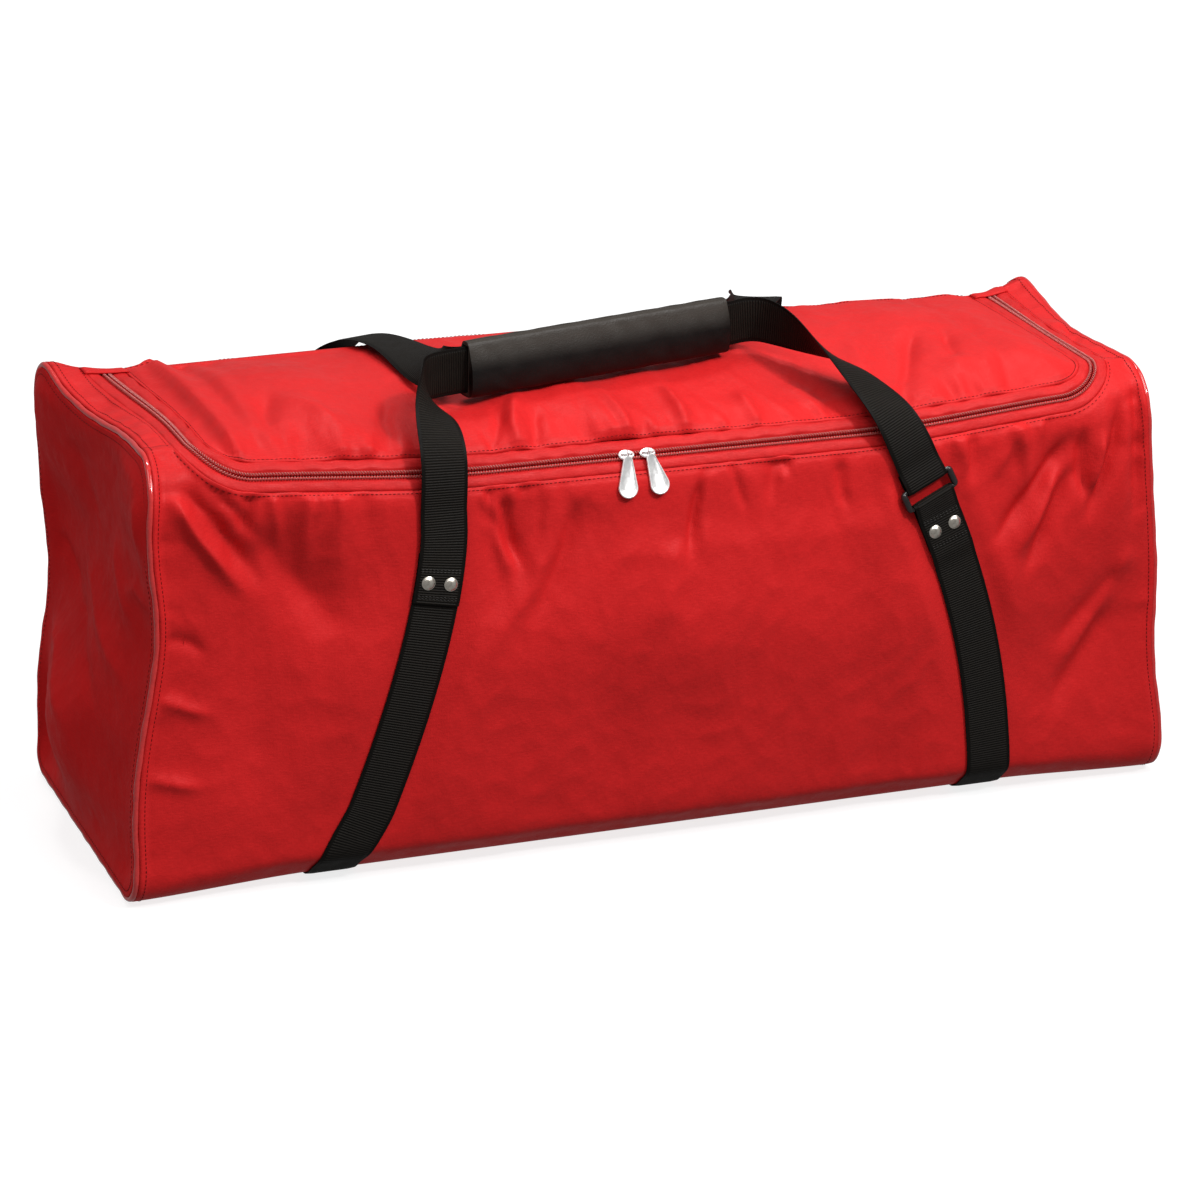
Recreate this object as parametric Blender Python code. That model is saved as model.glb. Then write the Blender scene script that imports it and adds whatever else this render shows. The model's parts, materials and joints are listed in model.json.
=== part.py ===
"""Hockey equipment bag with a U-shaped zip lid, two girth straps and two webbing carry handles.

Frame: metres, +Z up, origin at the bottom centre. X runs along the bag, and -Y is the front.
Every sub-part is one object. s is a distance along the bag's girth, from the front bottom seam,
up the front, over the top and down the back.
"""
import bisect
import math

import bmesh
import bpy
from mathutils import Matrix, Vector

for leftover in list(bpy.data.objects):
    bpy.data.objects.remove(leftover, do_unlink=True)

# --- Driving dimensions -------------------------------------------------------------------------
LENGTH = 0.914              # along the base, over the end panels
DEPTH = 0.316               # front to back, at the base
END_HEIGHT = 0.362          # top of the end panels
CROWN = 0.010               # extra height of the stuffed lid at mid length
END_LEAN = 0.026            # how far each end panel leans inwards at the top
WALL_LEAN = 0.016           # how far the front and back walls lean inwards at the top
WALL_BULGE = 0.008          # outward swell of the front and back walls at mid length
ZIP_SAG = 0.018             # drop of the front zip at mid length
BASE_RADIUS = 0.026         # bottom front and back edges
BASE_SEAM = 0.036           # from the bottom front and back edges in to the seams of the base
SHOULDER_RADIUS = 0.045     # top front and back edges
FABRIC = 0.002              # coated cloth with its lining and seam allowance
GAP = 0.0003                # clearance between touching pieces
SEAM_GAP = 0.0010           # between panel edges that meet round a curve
LAYER_GAP = 0.0005          # under each layer of webbing
WEBBING_WIDTH = 0.038
WEBBING = 0.0016            # webbing thickness
PIPING_RADIUS = 0.0025
ZIP_BAND = 0.013            # half of the band of zip tape that shows between the panels
COIL_OUTER = 0.0032         # from the middle of the zip to the outer edge of one coil
COIL_INNER = 0.0006         # from the middle of the zip to the inner edge of one coil
ZIP_CORNER = 0.045          # radius of the zip's front corners
ZIP_SIDE = 0.392            # x of the zip's side runs
ZIP_RISE = 0.42             # the front zip's place round the shoulder, as a share of its arc
HINGE_DROP = 0.008          # how far on to the back shoulder the lid's hinge seam lies
SLIDER_SPACING = 0.018      # between the two closed sliders
SLIDER_MIDDLE = -0.033      # x of the point where they meet
GRIP_LENGTH = 0.240
GRIP_HEIGHT = 0.046
GRIP_DEPTH = 0.026

STRAP_RECESS = WEBBING + LAYER_GAP      # the curled panel edges stand this much above the floor
HALF_LENGTH = LENGTH / 2
TOP_HALF = HALF_LENGTH - END_LEAN
SEAM_INSET = 0.0056                     # from the outer corner to each panel edge beside the piping
FIRST_LAYER = LAYER_GAP + WEBBING / 2   # middle of a strap that lies on the panel
SECOND_LAYER = 2 * LAYER_GAP + 1.5 * WEBBING    # middle of a strap that lies on another

# --- Materials ----------------------------------------------------------------------------------
FINISHES = {
    "red_cloth": ((0.62, 0.03, 0.035, 1), 0.45, 0.0),
    "red_piping": ((0.66, 0.03, 0.04, 1), 0.25, 0.0),
    "red_zip": ((0.50, 0.025, 0.03, 1), 0.40, 0.0),
    "black_webbing": ((0.015, 0.014, 0.013, 1), 0.60, 0.0),
    "black_vinyl": ((0.02, 0.018, 0.017, 1), 0.35, 0.0),
    "black_plastic": ((0.01, 0.01, 0.01, 1), 0.30, 0.0),
    "bright_metal": ((0.80, 0.78, 0.74, 1), 0.20, 1.0),
}


def material(finish):
    existing = bpy.data.materials.get(finish)
    if existing:
        return existing
    colour, roughness, metallic = FINISHES[finish]
    made = bpy.data.materials.new(finish)
    made.use_nodes = True
    shader = made.node_tree.nodes["Principled BSDF"]
    shader.inputs["Base Color"].default_value = colour
    shader.inputs["Roughness"].default_value = roughness
    shader.inputs["Metallic"].default_value = metallic
    return made


def add_object(name, data, finish, parent=None):
    """Link data as a named object with its material, keeping its world place under a parent."""
    made = bpy.data.objects.new(name, data)
    made.data.materials.append(material(finish))
    bpy.context.scene.collection.objects.link(made)
    if parent:
        made.parent = parent
        made.matrix_parent_inverse = Matrix.Translation(-parent.location)
    return made


def joint_empty(name, place):
    made = bpy.data.objects.new(name, None)
    made.location = place
    bpy.context.scene.collection.objects.link(made)
    return made


def mesh_object(name, finish, vertices, faces, parent=None, smooth=True):
    mesh = bpy.data.meshes.new(name)
    mesh.from_pydata([tuple(v) for v in vertices], [], faces)
    tidy = bmesh.new()
    tidy.from_mesh(mesh)
    bmesh.ops.recalc_face_normals(tidy, faces=tidy.faces)
    tidy.to_mesh(mesh)
    tidy.free()
    if smooth:
        mesh.shade_smooth()
        mesh.set_sharp_from_angle(angle=math.radians(40))
    return add_object(name, mesh, finish, parent)


# --- The bag's outer skin -----------------------------------------------------------------------
def fillet_path(corners, arc_steps=10):
    """Polyline through (a, b, radius) corners, with the index where each arc starts and ends."""
    path = []
    arcs = []
    for i, (a, b, radius) in enumerate(corners):
        corner = Vector((a, b))
        if radius == 0:
            path.append(corner)
            continue
        back = (Vector(corners[i - 1][:2]) - corner).normalized()
        ahead = (Vector(corners[(i + 1) % len(corners)][:2]) - corner).normalized()
        half = back.angle(ahead) / 2
        centre = corner + (back + ahead).normalized() * radius / math.sin(half)
        reach = radius / math.tan(half)
        first = corner + back * reach - centre
        last = corner + ahead * reach - centre
        arcs.append(len(path))
        turns = [first.slerp(last, k / arc_steps).normalized() for k in range(arc_steps + 1)]
        path += [centre + turn * radius for turn in turns]
        arcs.append(len(path) - 1)
    return path, arcs


WALL_TOP = DEPTH / 2 - WALL_LEAN
GIRTH, ARCS = fillet_path([
    (-DEPTH / 2 + BASE_SEAM, STRAP_RECESS, 0),
    (-DEPTH / 2, STRAP_RECESS, BASE_RADIUS),
    (-WALL_TOP, END_HEIGHT, SHOULDER_RADIUS),
    (WALL_TOP, END_HEIGHT, SHOULDER_RADIUS),
    (DEPTH / 2, STRAP_RECESS, BASE_RADIUS),
    (DEPTH / 2 - BASE_SEAM, STRAP_RECESS, 0),
])
DISTANCES = [0.0]
for before, after in zip(GIRTH, GIRTH[1:]):
    DISTANCES.append(DISTANCES[-1] + (after - before).length)

GIRTH_LENGTH = DISTANCES[-1]
S_FRONT_BASE = DISTANCES[ARCS[1]]
S_SHOULDER = DISTANCES[ARCS[2]]
S_SHOULDER_END = DISTANCES[ARCS[3]]
S_ZIP = S_SHOULDER + ZIP_RISE * (S_SHOULDER_END - S_SHOULDER)
S_HINGE = GIRTH_LENGTH - S_SHOULDER_END + HINGE_DROP


def on_girth(s):
    """Point (y, z) of the end outline at distance s."""
    i = min(max(bisect.bisect_right(DISTANCES, s) - 1, 0), len(GIRTH) - 2)
    share = (s - DISTANCES[i]) / (DISTANCES[i + 1] - DISTANCES[i])
    return GIRTH[i].lerp(GIRTH[i + 1], share)


def smooth_step(low, high, value):
    t = min(max((value - low) / (high - low), 0.0), 1.0)
    return t * t * (3 - 2 * t)


def skin(x, s):
    """Outer skin point. x is measured along the top edge, and stretches towards the longer base."""
    y, z = on_girth(s)
    share = x / TOP_HALF
    middle = max(1 - share * share, 0.0)
    slack = 1 - smooth_step(0.35, 0.95, abs(share))
    towards_front = max(-y / WALL_TOP, 0.0) * (z / END_HEIGHT) ** 2
    swell = WALL_BULGE * middle * math.sin(math.pi * z / END_HEIGHT)
    crown = CROWN * middle * max(1 - (y / WALL_TOP) ** 2, 0.0) * smooth_step(0.5, 1.0, z / END_HEIGHT)
    return Vector((
        share * (HALF_LENGTH - END_LEAN * z / END_HEIGHT),
        y + math.copysign(swell, y),
        z + crown - ZIP_SAG * slack * min(towards_front, 1.0),
    ))


def skin_normal(x, s):
    step = 0.002
    along = skin(x + step, s) - skin(x - step, s)
    around = skin(x, min(s + step, GIRTH_LENGTH)) - skin(x, max(s - step, 0.0))
    return along.cross(around).normalized()


def lifted(x, s, height):
    return skin(x, s) + skin_normal(x, s) * height


def x_for(place_x, s):
    """The skin's own x for a place's world x at distance s."""
    z = on_girth(s).y
    return place_x * TOP_HALF / (HALF_LENGTH - END_LEAN * z / END_HEIGHT)


def spread(low, high, count):
    return [low + (high - low) * i / count for i in range(count + 1)]


def shell(name, finish, columns, rows, place, thickness=FABRIC, parent=None):
    """Panel over a grid of places, given its thickness inwards by a Solidify modifier."""
    vertices = [place(column, row) for column in columns for row in rows]
    high = len(rows)
    faces = [
        (i * high + j, (i + 1) * high + j, (i + 1) * high + j + 1, i * high + j + 1)
        for i in range(len(columns) - 1)
        for j in range(high - 1)
    ]
    mesh = bpy.data.meshes.new(name)
    mesh.from_pydata([tuple(v) for v in vertices], [], faces)
    mesh.shade_smooth()
    made = add_object(name, mesh, finish, parent)
    solidify = made.modifiers.new("thickness", "SOLIDIFY")
    solidify.thickness = thickness
    solidify.offset = -1
    solidify.use_even_offset = True
    return made


def tube(name, finish, points, radius, cyclic=False, parent=None, resolution=1):
    curve = bpy.data.curves.new(name, "CURVE")
    curve.dimensions = "3D"
    curve.bevel_depth = radius
    curve.bevel_resolution = resolution
    curve.use_fill_caps = not cyclic
    spline = curve.splines.new("POLY")
    spline.points.add(len(points) - 1)
    for point, place in zip(spline.points, points):
        point.co = (*place, 1)
    spline.use_cyclic_u = cyclic
    return add_object(name, curve, finish, parent)


# --- Panels -------------------------------------------------------------------------------------
END_SHARE = 1 - SEAM_INSET / TOP_HALF
EDGE_X = TOP_HALF * END_SHARE
PANEL_COLUMNS = spread(-EDGE_X, EDGE_X, 24)


def wall_rows(low, high):
    """Rows that are close together in the curved stretches and far apart on the wall."""
    curled = spread(low, S_FRONT_BASE, 6)
    wall = spread(S_FRONT_BASE, S_SHOULDER, 5)[1:]
    shoulder = spread(S_SHOULDER, high, 4)[1:]
    return curled + wall + shoulder


def make_front_panel():
    rows = wall_rows(0.0, S_ZIP - ZIP_BAND)
    return shell("front_panel", "red_cloth", PANEL_COLUMNS, rows, skin)


def make_back_panel():
    rows = [GIRTH_LENGTH - s for s in wall_rows(0.0, GIRTH_LENGTH - S_HINGE - SEAM_GAP)]
    return shell("back_panel", "red_cloth", PANEL_COLUMNS, rows[::-1], skin)


def make_bottom_panel():
    """Flat base with a shallow channel over each girth strap, so cloth and webbing lie level."""
    half_channel = WEBBING_WIDTH / 2 + 0.001
    end = HALF_LENGTH - SEAM_INSET
    lower = [(-end, 0)]
    upper = [(-end, FABRIC)]
    for centre in (-STRAP_BASE_X, STRAP_BASE_X):
        for edge, height in ((-1, 0), (-1, STRAP_RECESS), (1, STRAP_RECESS), (1, 0)):
            lower.append((centre + edge * half_channel, height))
            upper.append((centre + edge * (half_channel + FABRIC), height + FABRIC))
    lower.append((end, 0))
    upper.append((end, FABRIC))
    outline = lower + upper[::-1]
    front, back = -DEPTH / 2 + BASE_SEAM + GAP, DEPTH / 2 - BASE_SEAM - GAP
    count = len(outline)
    vertices = [(x, y, z) for y in (front, back) for x, z in outline]
    faces = [(i, (i + 1) % count, (i + 1) % count + count, i + count) for i in range(count)]
    faces += [tuple(range(count)), tuple(range(count, 2 * count))]
    return mesh_object("bottom_panel", "red_cloth", vertices, faces, smooth=False)


def end_outline(inset):
    """Closed outline (y, z) of an end, moved inwards by inset."""
    outline = []
    for i, here in enumerate(GIRTH):
        before = (here - GIRTH[i - 1]).normalized()
        after = (GIRTH[(i + 1) % len(GIRTH)] - here).normalized()
        inwards = Vector((before.y + after.y, -before.x - after.x)).normalized()
        outline.append(here + inwards * inset)
    return outline


def end_place(side, y, z, depth):
    """Point on an end's leaning plane, at depth inwards from its outer face."""
    return Vector((side * (HALF_LENGTH - END_LEAN * z / END_HEIGHT - depth), y, z))


def make_end_panel(name, side):
    outline = end_outline(SEAM_INSET)
    count = len(outline)
    vertices = [end_place(side, y, z, depth) for depth in (0.0, FABRIC) for y, z in outline]
    faces = [(i, (i + 1) % count, (i + 1) % count + count, i + count) for i in range(count)]
    faces += [tuple(range(count)), tuple(range(count, 2 * count))]
    return mesh_object(name, "red_cloth", vertices, faces, smooth=False)


def make_piping(name, side):
    centre_inset = PIPING_RADIUS + 0.0001
    points = [end_place(side, y, z, centre_inset) for y, z in end_outline(centre_inset)]
    return tube(name, "red_piping", points, PIPING_RADIUS, cyclic=True)


def make_top_strip(name, side):
    """Body cloth between an end's piping and the zip, rounded where the zip turns its corner."""
    outer_radius = ZIP_CORNER + ZIP_BAND
    centre_x = ZIP_SIDE - ZIP_CORNER
    start = S_ZIP - ZIP_BAND + GAP
    turn = [math.radians(a) for a in range(0, 91, 10)]
    rows = [(start + outer_radius * (1 - math.cos(a)), centre_x + outer_radius * math.sin(a)) for a in turn]
    rows += [(s, centre_x + outer_radius) for s in spread(rows[-1][0], S_HINGE, 6)[1:]]

    def place(share, row):
        s, inner = row
        across = share if side > 0 else 1 - share
        return skin(side * (inner + (EDGE_X - inner) * across), s)

    return shell(name, "red_cloth", spread(0.0, 1.0, 3), rows, place)


def zip_route():
    """Places along the U-shaped zip as (x, s, outward x, outward s) in the skin's own measures."""
    inner = ZIP_SIDE - ZIP_CORNER
    side_end = S_HINGE - 0.004
    corner_top = S_ZIP + ZIP_CORNER
    turn = [math.radians(a) for a in range(0, 91, 10)]
    left = [(-ZIP_SIDE, s, -1.0, 0.0) for s in spread(side_end, corner_top, 5)[:-1]]
    left += [
        (-inner - ZIP_CORNER * math.cos(a), corner_top - ZIP_CORNER * math.sin(a), -math.cos(a), -math.sin(a))
        for a in turn
    ]
    front = [(x, S_ZIP, 0.0, -1.0) for x in spread(-inner, inner, 22)[1:-1]]
    right = [(-x, s, -out_x, out_s) for x, s, out_x, out_s in reversed(left)]
    return left + front + right


def make_zip_strip(name, finish, near, far, thickness, depth, parent=None):
    """Strip along the zip between two distances from its middle, positive towards the lid."""

    def place(stop, distance):
        x, s, out_x, out_s = stop
        return lifted(x - out_x * distance, s - out_s * distance, -depth)

    return shell(name, finish, zip_route(), [near, far], place, thickness, parent)


def make_lid_panel(parent):
    """Top panel with rounded front corners, from the zip to the hinge seam at the back."""
    radius = ZIP_CORNER - ZIP_BAND
    corner_x = ZIP_SIDE - ZIP_CORNER
    start = S_ZIP + ZIP_BAND
    turn = [math.radians(a) for a in range(0, 91, 18)]
    right = [(corner_x + radius * math.sin(a), start + radius * (1 - math.cos(a))) for a in turn]
    left = [(-x, s) for x, s in reversed(right)]
    columns = left + [(x, start) for x in spread(-corner_x, corner_x, 20)[1:-1]] + right

    def place(column, share):
        x, first = column
        return skin(x, first + (S_HINGE - GAP - first) * share)

    rows = spread(0.0, 0.12, 3) + spread(0.12, 1.0, 7)[1:]
    return shell("lid_panel", "red_cloth", columns, rows, place, FABRIC, parent)


def make_zip_stop(name, side):
    """Folded tab sewn over the end of the zip, on the top strip beside the hinge seam."""
    s = S_HINGE - 0.007
    corners = []
    for height in (GAP, GAP + 0.0012):
        for across, along in ((0.0145, -0.006), (0.030, -0.006), (0.030, 0.006), (0.0145, 0.006)):
            corners.append(lifted(side * (ZIP_SIDE + across), s + along, height))
    faces = [(3, 2, 1, 0), (4, 5, 6, 7)] + [(i, (i + 1) % 4, (i + 1) % 4 + 4, i + 4) for i in range(4)]
    return mesh_object(name, "red_cloth", corners, faces, smooth=False)


# --- Webbing ------------------------------------------------------------------------------------
def ribbon(name, stations, finish="black_webbing", parent=None, thickness=WEBBING):
    """Flat strap along (middle, side) stations. side is the direction of its width."""
    vertices = []
    for i, (middle, side) in enumerate(stations):
        ahead = stations[min(i + 1, len(stations) - 1)][0] - stations[max(i - 1, 0)][0]
        across = (side - ahead * side.dot(ahead) / ahead.length_squared).normalized()
        face = ahead.cross(across).normalized()
        for wide, deep in ((-1, -1), (1, -1), (1, 1), (-1, 1)):
            vertices.append(middle + across * wide * WEBBING_WIDTH / 2 + face * deep * thickness / 2)
    last = 4 * (len(stations) - 1)
    faces = [(0, 1, 2, 3), (last, last + 1, last + 2, last + 3)]
    # Both wide faces are cut along the same diagonal, so that they stay apart where the strap twists.
    for a in range(0, last, 4):
        b, c, d = a + 1, a + 2, a + 3
        faces += [(a, b, b + 4), (a, b + 4, a + 4), (b, c, c + 4), (b, c + 4, b + 4)]
        faces += [(c, d, c + 4), (d, d + 4, c + 4), (d, a, a + 4), (d, a + 4, d + 4)]
    return mesh_object(name, finish, vertices, faces, parent)


def smooth_route(stations, steps=5):
    """Catmull-Rom route through (middle, side) stations."""
    route = []
    for i in range(len(stations) - 1):
        a = stations[max(i - 1, 0)][0]
        b, side_b = stations[i]
        c, side_c = stations[i + 1]
        d = stations[min(i + 2, len(stations) - 1)][0]
        for k in range(steps):
            t = k / steps
            middle = 0.5 * (
                2 * b + (c - a) * t + (2 * a - 5 * b + 4 * c - d) * t * t + (3 * b - a - 3 * c + d) * t ** 3
            )
            route.append((middle, side_b.lerp(side_c, t).normalized()))
    return route + [stations[-1]]


# The straps lie at these places. Both handles are alike, and the back one is the front one turned
# half a turn about Z, so its ring is at the left.
STRAP_BASE_X = 0.288        # under the bag
RIVET_END_X = -0.200        # handle's riveted end, on the front
RING_END_X = 0.216          # handle's ring end, on the front
LEAN_TOP = 0.300            # height at which the lean of the straps ends
RIVET_Z = 0.256
PIVOT_Z = 0.284             # handles and rings swing about this height
RIVET_HALF_SPACING = 0.0092


def rivet_end_lean(z):
    """x of the strap below a handle's riveted end, on the front: slanted most at the bottom."""
    left = max(1 - z / LEAN_TOP, 0.0)
    return RIVET_END_X - (STRAP_BASE_X + RIVET_END_X) * left ** 1.5


def ring_end_lean(z):
    """x of the strap below a ring, on the front: upright at the bottom, leaning towards the ring."""
    rise = min(max(z / LEAN_TOP, 0.0), 1.0)
    return STRAP_BASE_X - (STRAP_BASE_X - RING_END_X) * rise ** 1.9


def s_at(z):
    """Distance along the girth where the front wall reaches height z."""
    for i in range(1, len(GIRTH)):
        if GIRTH[i].y >= z:
            share = (z - GIRTH[i - 1].y) / (GIRTH[i].y - GIRTH[i - 1].y)
            return DISTANCES[i - 1] + share * (DISTANCES[i] - DISTANCES[i - 1])
    return S_SHOULDER_END


BAR_RADIUS = 0.002
BAR_SPACING = 0.016
LOOP_RADIUS = BAR_RADIUS + GAP + WEBBING / 2        # middle of the webbing round a bar
BAR_HEIGHT = FIRST_LAYER + LOOP_RADIUS + 2 * GAP    # of the ring's bars over the skin


class Wall:
    """Front wall, or the back wall given half a turn about Z so that it faces the front too."""

    def __init__(self, turned):
        self.turned = turned
        s = s_at(PIVOT_Z)
        self.ring_base = self.station(ring_end_lean, s, 0.0)[0]
        self.ring_out = self.normal(x_for(self.ring_base.x, s), s)
        ahead = self.station(ring_end_lean, s + 0.004, 0.0)[0] - self.ring_base
        self.ring_up = (ahead - self.ring_out * ahead.dot(self.ring_out)).normalized()
        self.ring_across = self.ring_out.cross(self.ring_up) * -1

    def spin(self, vector):
        return Vector((-vector.x, -vector.y, vector.z)) if self.turned else vector

    def own_s(self, s):
        return GIRTH_LENGTH - s if self.turned else s

    def normal(self, x, s):
        return self.spin(skin_normal(-x if self.turned else x, self.own_s(s)))

    def lifted(self, x, s, height):
        return self.spin(skin(-x if self.turned else x, self.own_s(s))) + self.normal(x, s) * height

    def station(self, lean, s, layer):
        """Middle and width direction of a strap that lies on the wall, layer over the skin."""

        def place(at):
            below = smooth_step(0.0, 0.090, at)
            base_x = math.copysign(STRAP_BASE_X, lean(0.0))
            world_x = lean(on_girth(at).y) * below + base_x * (1 - below)
            return self.lifted(x_for(world_x, at), at, layer)

        here = place(s)
        ahead = place(s + 0.004) - here
        return here, ahead.cross(self.normal(x_for(here.x, s), s)).normalized()

    def by_ring(self, up, out):
        """Station at the ring, from the middle of its lower bar, with out counted from the skin."""
        return self.ring_base + self.ring_up * up + self.ring_out * out, self.ring_across

    def world(self, stations):
        return [(self.spin(middle), self.spin(side)) for middle, side in stations]


FRONT = Wall(turned=False)
BACK = Wall(turned=True)


def strap_rows(high):
    """Distances up a wall, close together round the bottom edge."""
    return spread(0.004, S_FRONT_BASE, 16) + spread(S_FRONT_BASE, high, 9)[1:]


def plain_end(wall):
    """Girth strap up the wall to the pivot height, under a handle's riveted end."""
    return [wall.station(rivet_end_lean, s, FIRST_LAYER) for s in strap_rows(s_at(PIVOT_Z - 0.003))]


def ring_end(wall):
    """Girth strap up the wall, round the ring's lower bar and down again behind itself."""
    tail_end = s_at(RIVET_Z - 0.016)
    turn_start = s_at(RIVET_Z + 0.012)
    single = [wall.station(ring_end_lean, s, FIRST_LAYER) for s in strap_rows(tail_end - 0.016)]
    double = [wall.station(ring_end_lean, s, SECOND_LAYER) for s in spread(tail_end - 0.004, turn_start, 4)]
    turn = []
    for angle in range(0, 181, 20):
        a = math.radians(angle)
        turn.append(wall.by_ring(LOOP_RADIUS * math.sin(a), BAR_HEIGHT + LOOP_RADIUS * math.cos(a)))
    tail = [wall.station(ring_end_lean, s, FIRST_LAYER) for s in spread(turn_start, tail_end, 4)]
    return single + double + turn + tail


def underside():
    """Level run of a girth strap under the bag, from the far seam to the seam of the ring's wall."""
    reach = DEPTH / 2 - BASE_SEAM
    return [(Vector((STRAP_BASE_X, y, WEBBING / 2)), Vector((-1, 0, 0))) for y in spread(reach, -reach, 3)]


def align_sides(stations):
    """Make each width direction agree with the one before, so the strap has no false half turn."""
    aligned = [stations[0]]
    for middle, side in stations[1:]:
        aligned.append((middle, side if side.dot(aligned[-1][1]) >= 0 else -side))
    return aligned


def make_girth_strap(name, plain_wall, ring_wall):
    """From the plain end on one wall, under the bag, to the ring end on the other."""
    run = ring_wall.world(underside())
    route = plain_wall.world(plain_end(plain_wall))[::-1] + run + ring_wall.world(ring_end(ring_wall))
    return ribbon(name, align_sides(route))


# --- Handles ------------------------------------------------------------------------------------
GRIP_LEFT = Vector((-0.144, -0.062, 0.3920))
GRIP_RIGHT = Vector((0.091, -0.014, 0.3945))
GRIP_ALONG = (GRIP_RIGHT - GRIP_LEFT).normalized()
GRIP_BACK = Vector((0, 0, 1)).cross(GRIP_ALONG).normalized()
GRIP_UP = GRIP_ALONG.cross(GRIP_BACK).normalized()
SLOT_HALF = 0.0040          # half width of the slot that holds both handles
HANDLE_OFFSET = 0.0017      # each handle's middle from the grip's middle plane
ON_EDGE = Vector((0, 0, 1))
FLAT = Vector((1, 0, 0))


def riveted_end(wall):
    """Handle's flat start over the girth strap, up to the shoulder."""
    start = s_at(RIVET_Z - 0.018)
    return wall.world([wall.station(rivet_end_lean, s, SECOND_LAYER) for s in spread(start, S_SHOULDER, 5)])


def looped_end(wall):
    """Handle's run down to the ring, the turn round its upper bar, and the short tail behind."""
    above = [wall.by_ring(0.048, 0.0062), wall.by_ring(0.034, 0.0050)]
    above.append(wall.by_ring(BAR_SPACING + 0.008, BAR_HEIGHT + LOOP_RADIUS - 0.0008))
    turn = []
    for angle in range(0, 181, 20):
        a = math.radians(angle)
        up = BAR_SPACING - LOOP_RADIUS * math.sin(a)
        turn.append(wall.by_ring(up, BAR_HEIGHT + LOOP_RADIUS * math.cos(a)))
    tail = [wall.by_ring(BAR_SPACING + up, FIRST_LAYER) for up in (0.006, 0.014)]
    return wall.world(above), wall.world(turn + tail)


def inside_grip(offset):
    return [(GRIP_LEFT.lerp(GRIP_RIGHT, t) + GRIP_BACK * offset, ON_EDGE) for t in spread(0.0, 1.0, 4)]


def make_handle(name, wall, first_lead, grip, last_lead, parent):
    """Riveted end, over the shoulder, through the grip on edge, and down to the ring."""
    flat = riveted_end(wall)
    above, turn = looped_end(wall)
    free = [(Vector(middle), Vector(side).normalized()) for middle, side in first_lead]
    free += grip
    free += [(Vector(middle), Vector(side).normalized()) for middle, side in last_lead]
    loose = align_sides([flat[-1]] + free + above)
    stations = align_sides(flat + smooth_route(loose)[1:] + turn)
    return ribbon(name, stations, parent=parent)


FRONT_FIRST_LEAD = [
    ((-0.1990, -0.1480, 0.3440), FLAT),
    ((-0.1975, -0.1300, 0.3660), (1, 0, -0.15)),
    ((-0.1965, -0.1100, 0.3790), (0.8, 0, -0.6)),
    ((-0.1960, -0.0930, 0.3870), (0.25, 0, -1)),
    ((-0.1930, -0.0795, 0.3900), ON_EDGE),
    ((-0.1840, -0.0715, 0.3910), ON_EDGE),
    ((-0.1660, -0.0670, 0.3915), ON_EDGE),
]
FRONT_LAST_LEAD = [
    ((0.1070, -0.0120, 0.3955), ON_EDGE),
    ((0.1190, -0.0140, 0.3965), ON_EDGE),
    ((0.1290, -0.0230, 0.3960), ON_EDGE),
    ((0.1400, -0.0440, 0.3930), (0.25, 0.12, -1)),
    ((0.1530, -0.0700, 0.3860), (0.7, 0.35, -0.8)),
    ((0.1660, -0.0960, 0.3770), (0.95, 0.4, -0.35)),
    ((0.1780, -0.1235, 0.3620), (1, 0.35, -0.05)),
    ((0.1900, -0.1430, 0.3450), (1, 0.2, 0.15)),
]
BACK_FIRST_LEAD = [
    ((0.1985, 0.1490, 0.3440), FLAT),
    ((0.1940, 0.1300, 0.3670), (-1, 0, 0)),
    ((0.1860, 0.1080, 0.3780), (-0.95, 0.2, 0.12)),
    ((0.1750, 0.0820, 0.3820), (-0.85, 0.4, 0.3)),
    ((0.1610, 0.0560, 0.3865), (-0.65, 0.45, 0.55)),
    ((0.1470, 0.0350, 0.3910), (-0.4, 0.35, 0.82)),
    ((0.1330, 0.0160, 0.3935), (-0.15, 0.15, 0.97)),
    ((0.1180, 0.0020, 0.3950), ON_EDGE),
]
BACK_LAST_LEAD = [
    ((-0.1560, -0.0627, 0.3915), ON_EDGE),
    ((-0.1650, -0.0590, 0.3905), (0.05, 0.1, 1)),
    ((-0.1705, -0.0460, 0.3888), (0.35, 0.1, 0.93)),
    ((-0.1715, -0.0240, 0.3855), (0.75, 0.1, 0.65)),
    ((-0.1700, 0.0050, 0.3820), (0.93, 0.05, 0.35)),
    ((-0.1690, 0.0420, 0.3792), (1, 0, 0.10)),
    ((-0.1710, 0.0780, 0.3762), (1, 0.1, 0)),
    ((-0.1780, 0.1100, 0.3715), (1, 0.25, 0)),
    ((-0.1870, 0.1330, 0.3630), (1, 0.35, 0)),
    ((-0.1985, 0.1490, 0.3450), (1, 0.15, -0.05)),
]


def make_ring(name, wall, parent):
    """Plastic rectangular ring that joins a girth strap to a handle."""
    half_width = WEBBING_WIDTH / 2 + 0.0035
    outline, _ = fillet_path([
        (-half_width, 0.0, 0.003),
        (half_width, 0.0, 0.003),
        (half_width, BAR_SPACING, 0.003),
        (-half_width, BAR_SPACING, 0.003),
    ], 3)
    points = []
    for across, up in outline:
        middle, side = wall.by_ring(up, BAR_HEIGHT)
        points.append(wall.spin(middle + side * across))
    return tube(name, "black_plastic", points, BAR_RADIUS, cyclic=True, parent=parent, resolution=2)


def grip_section(angle, half_depth, half_height):
    """Point of a rounded flat oval. Angle 0 is at the back, and 90 degrees is at the top."""
    squareness = 0.7
    c, s = math.cos(angle), math.sin(angle)
    return (
        math.copysign(abs(c) ** squareness, c) * half_depth,
        math.copysign(abs(s) ** squareness, s) * half_height,
    )


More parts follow.
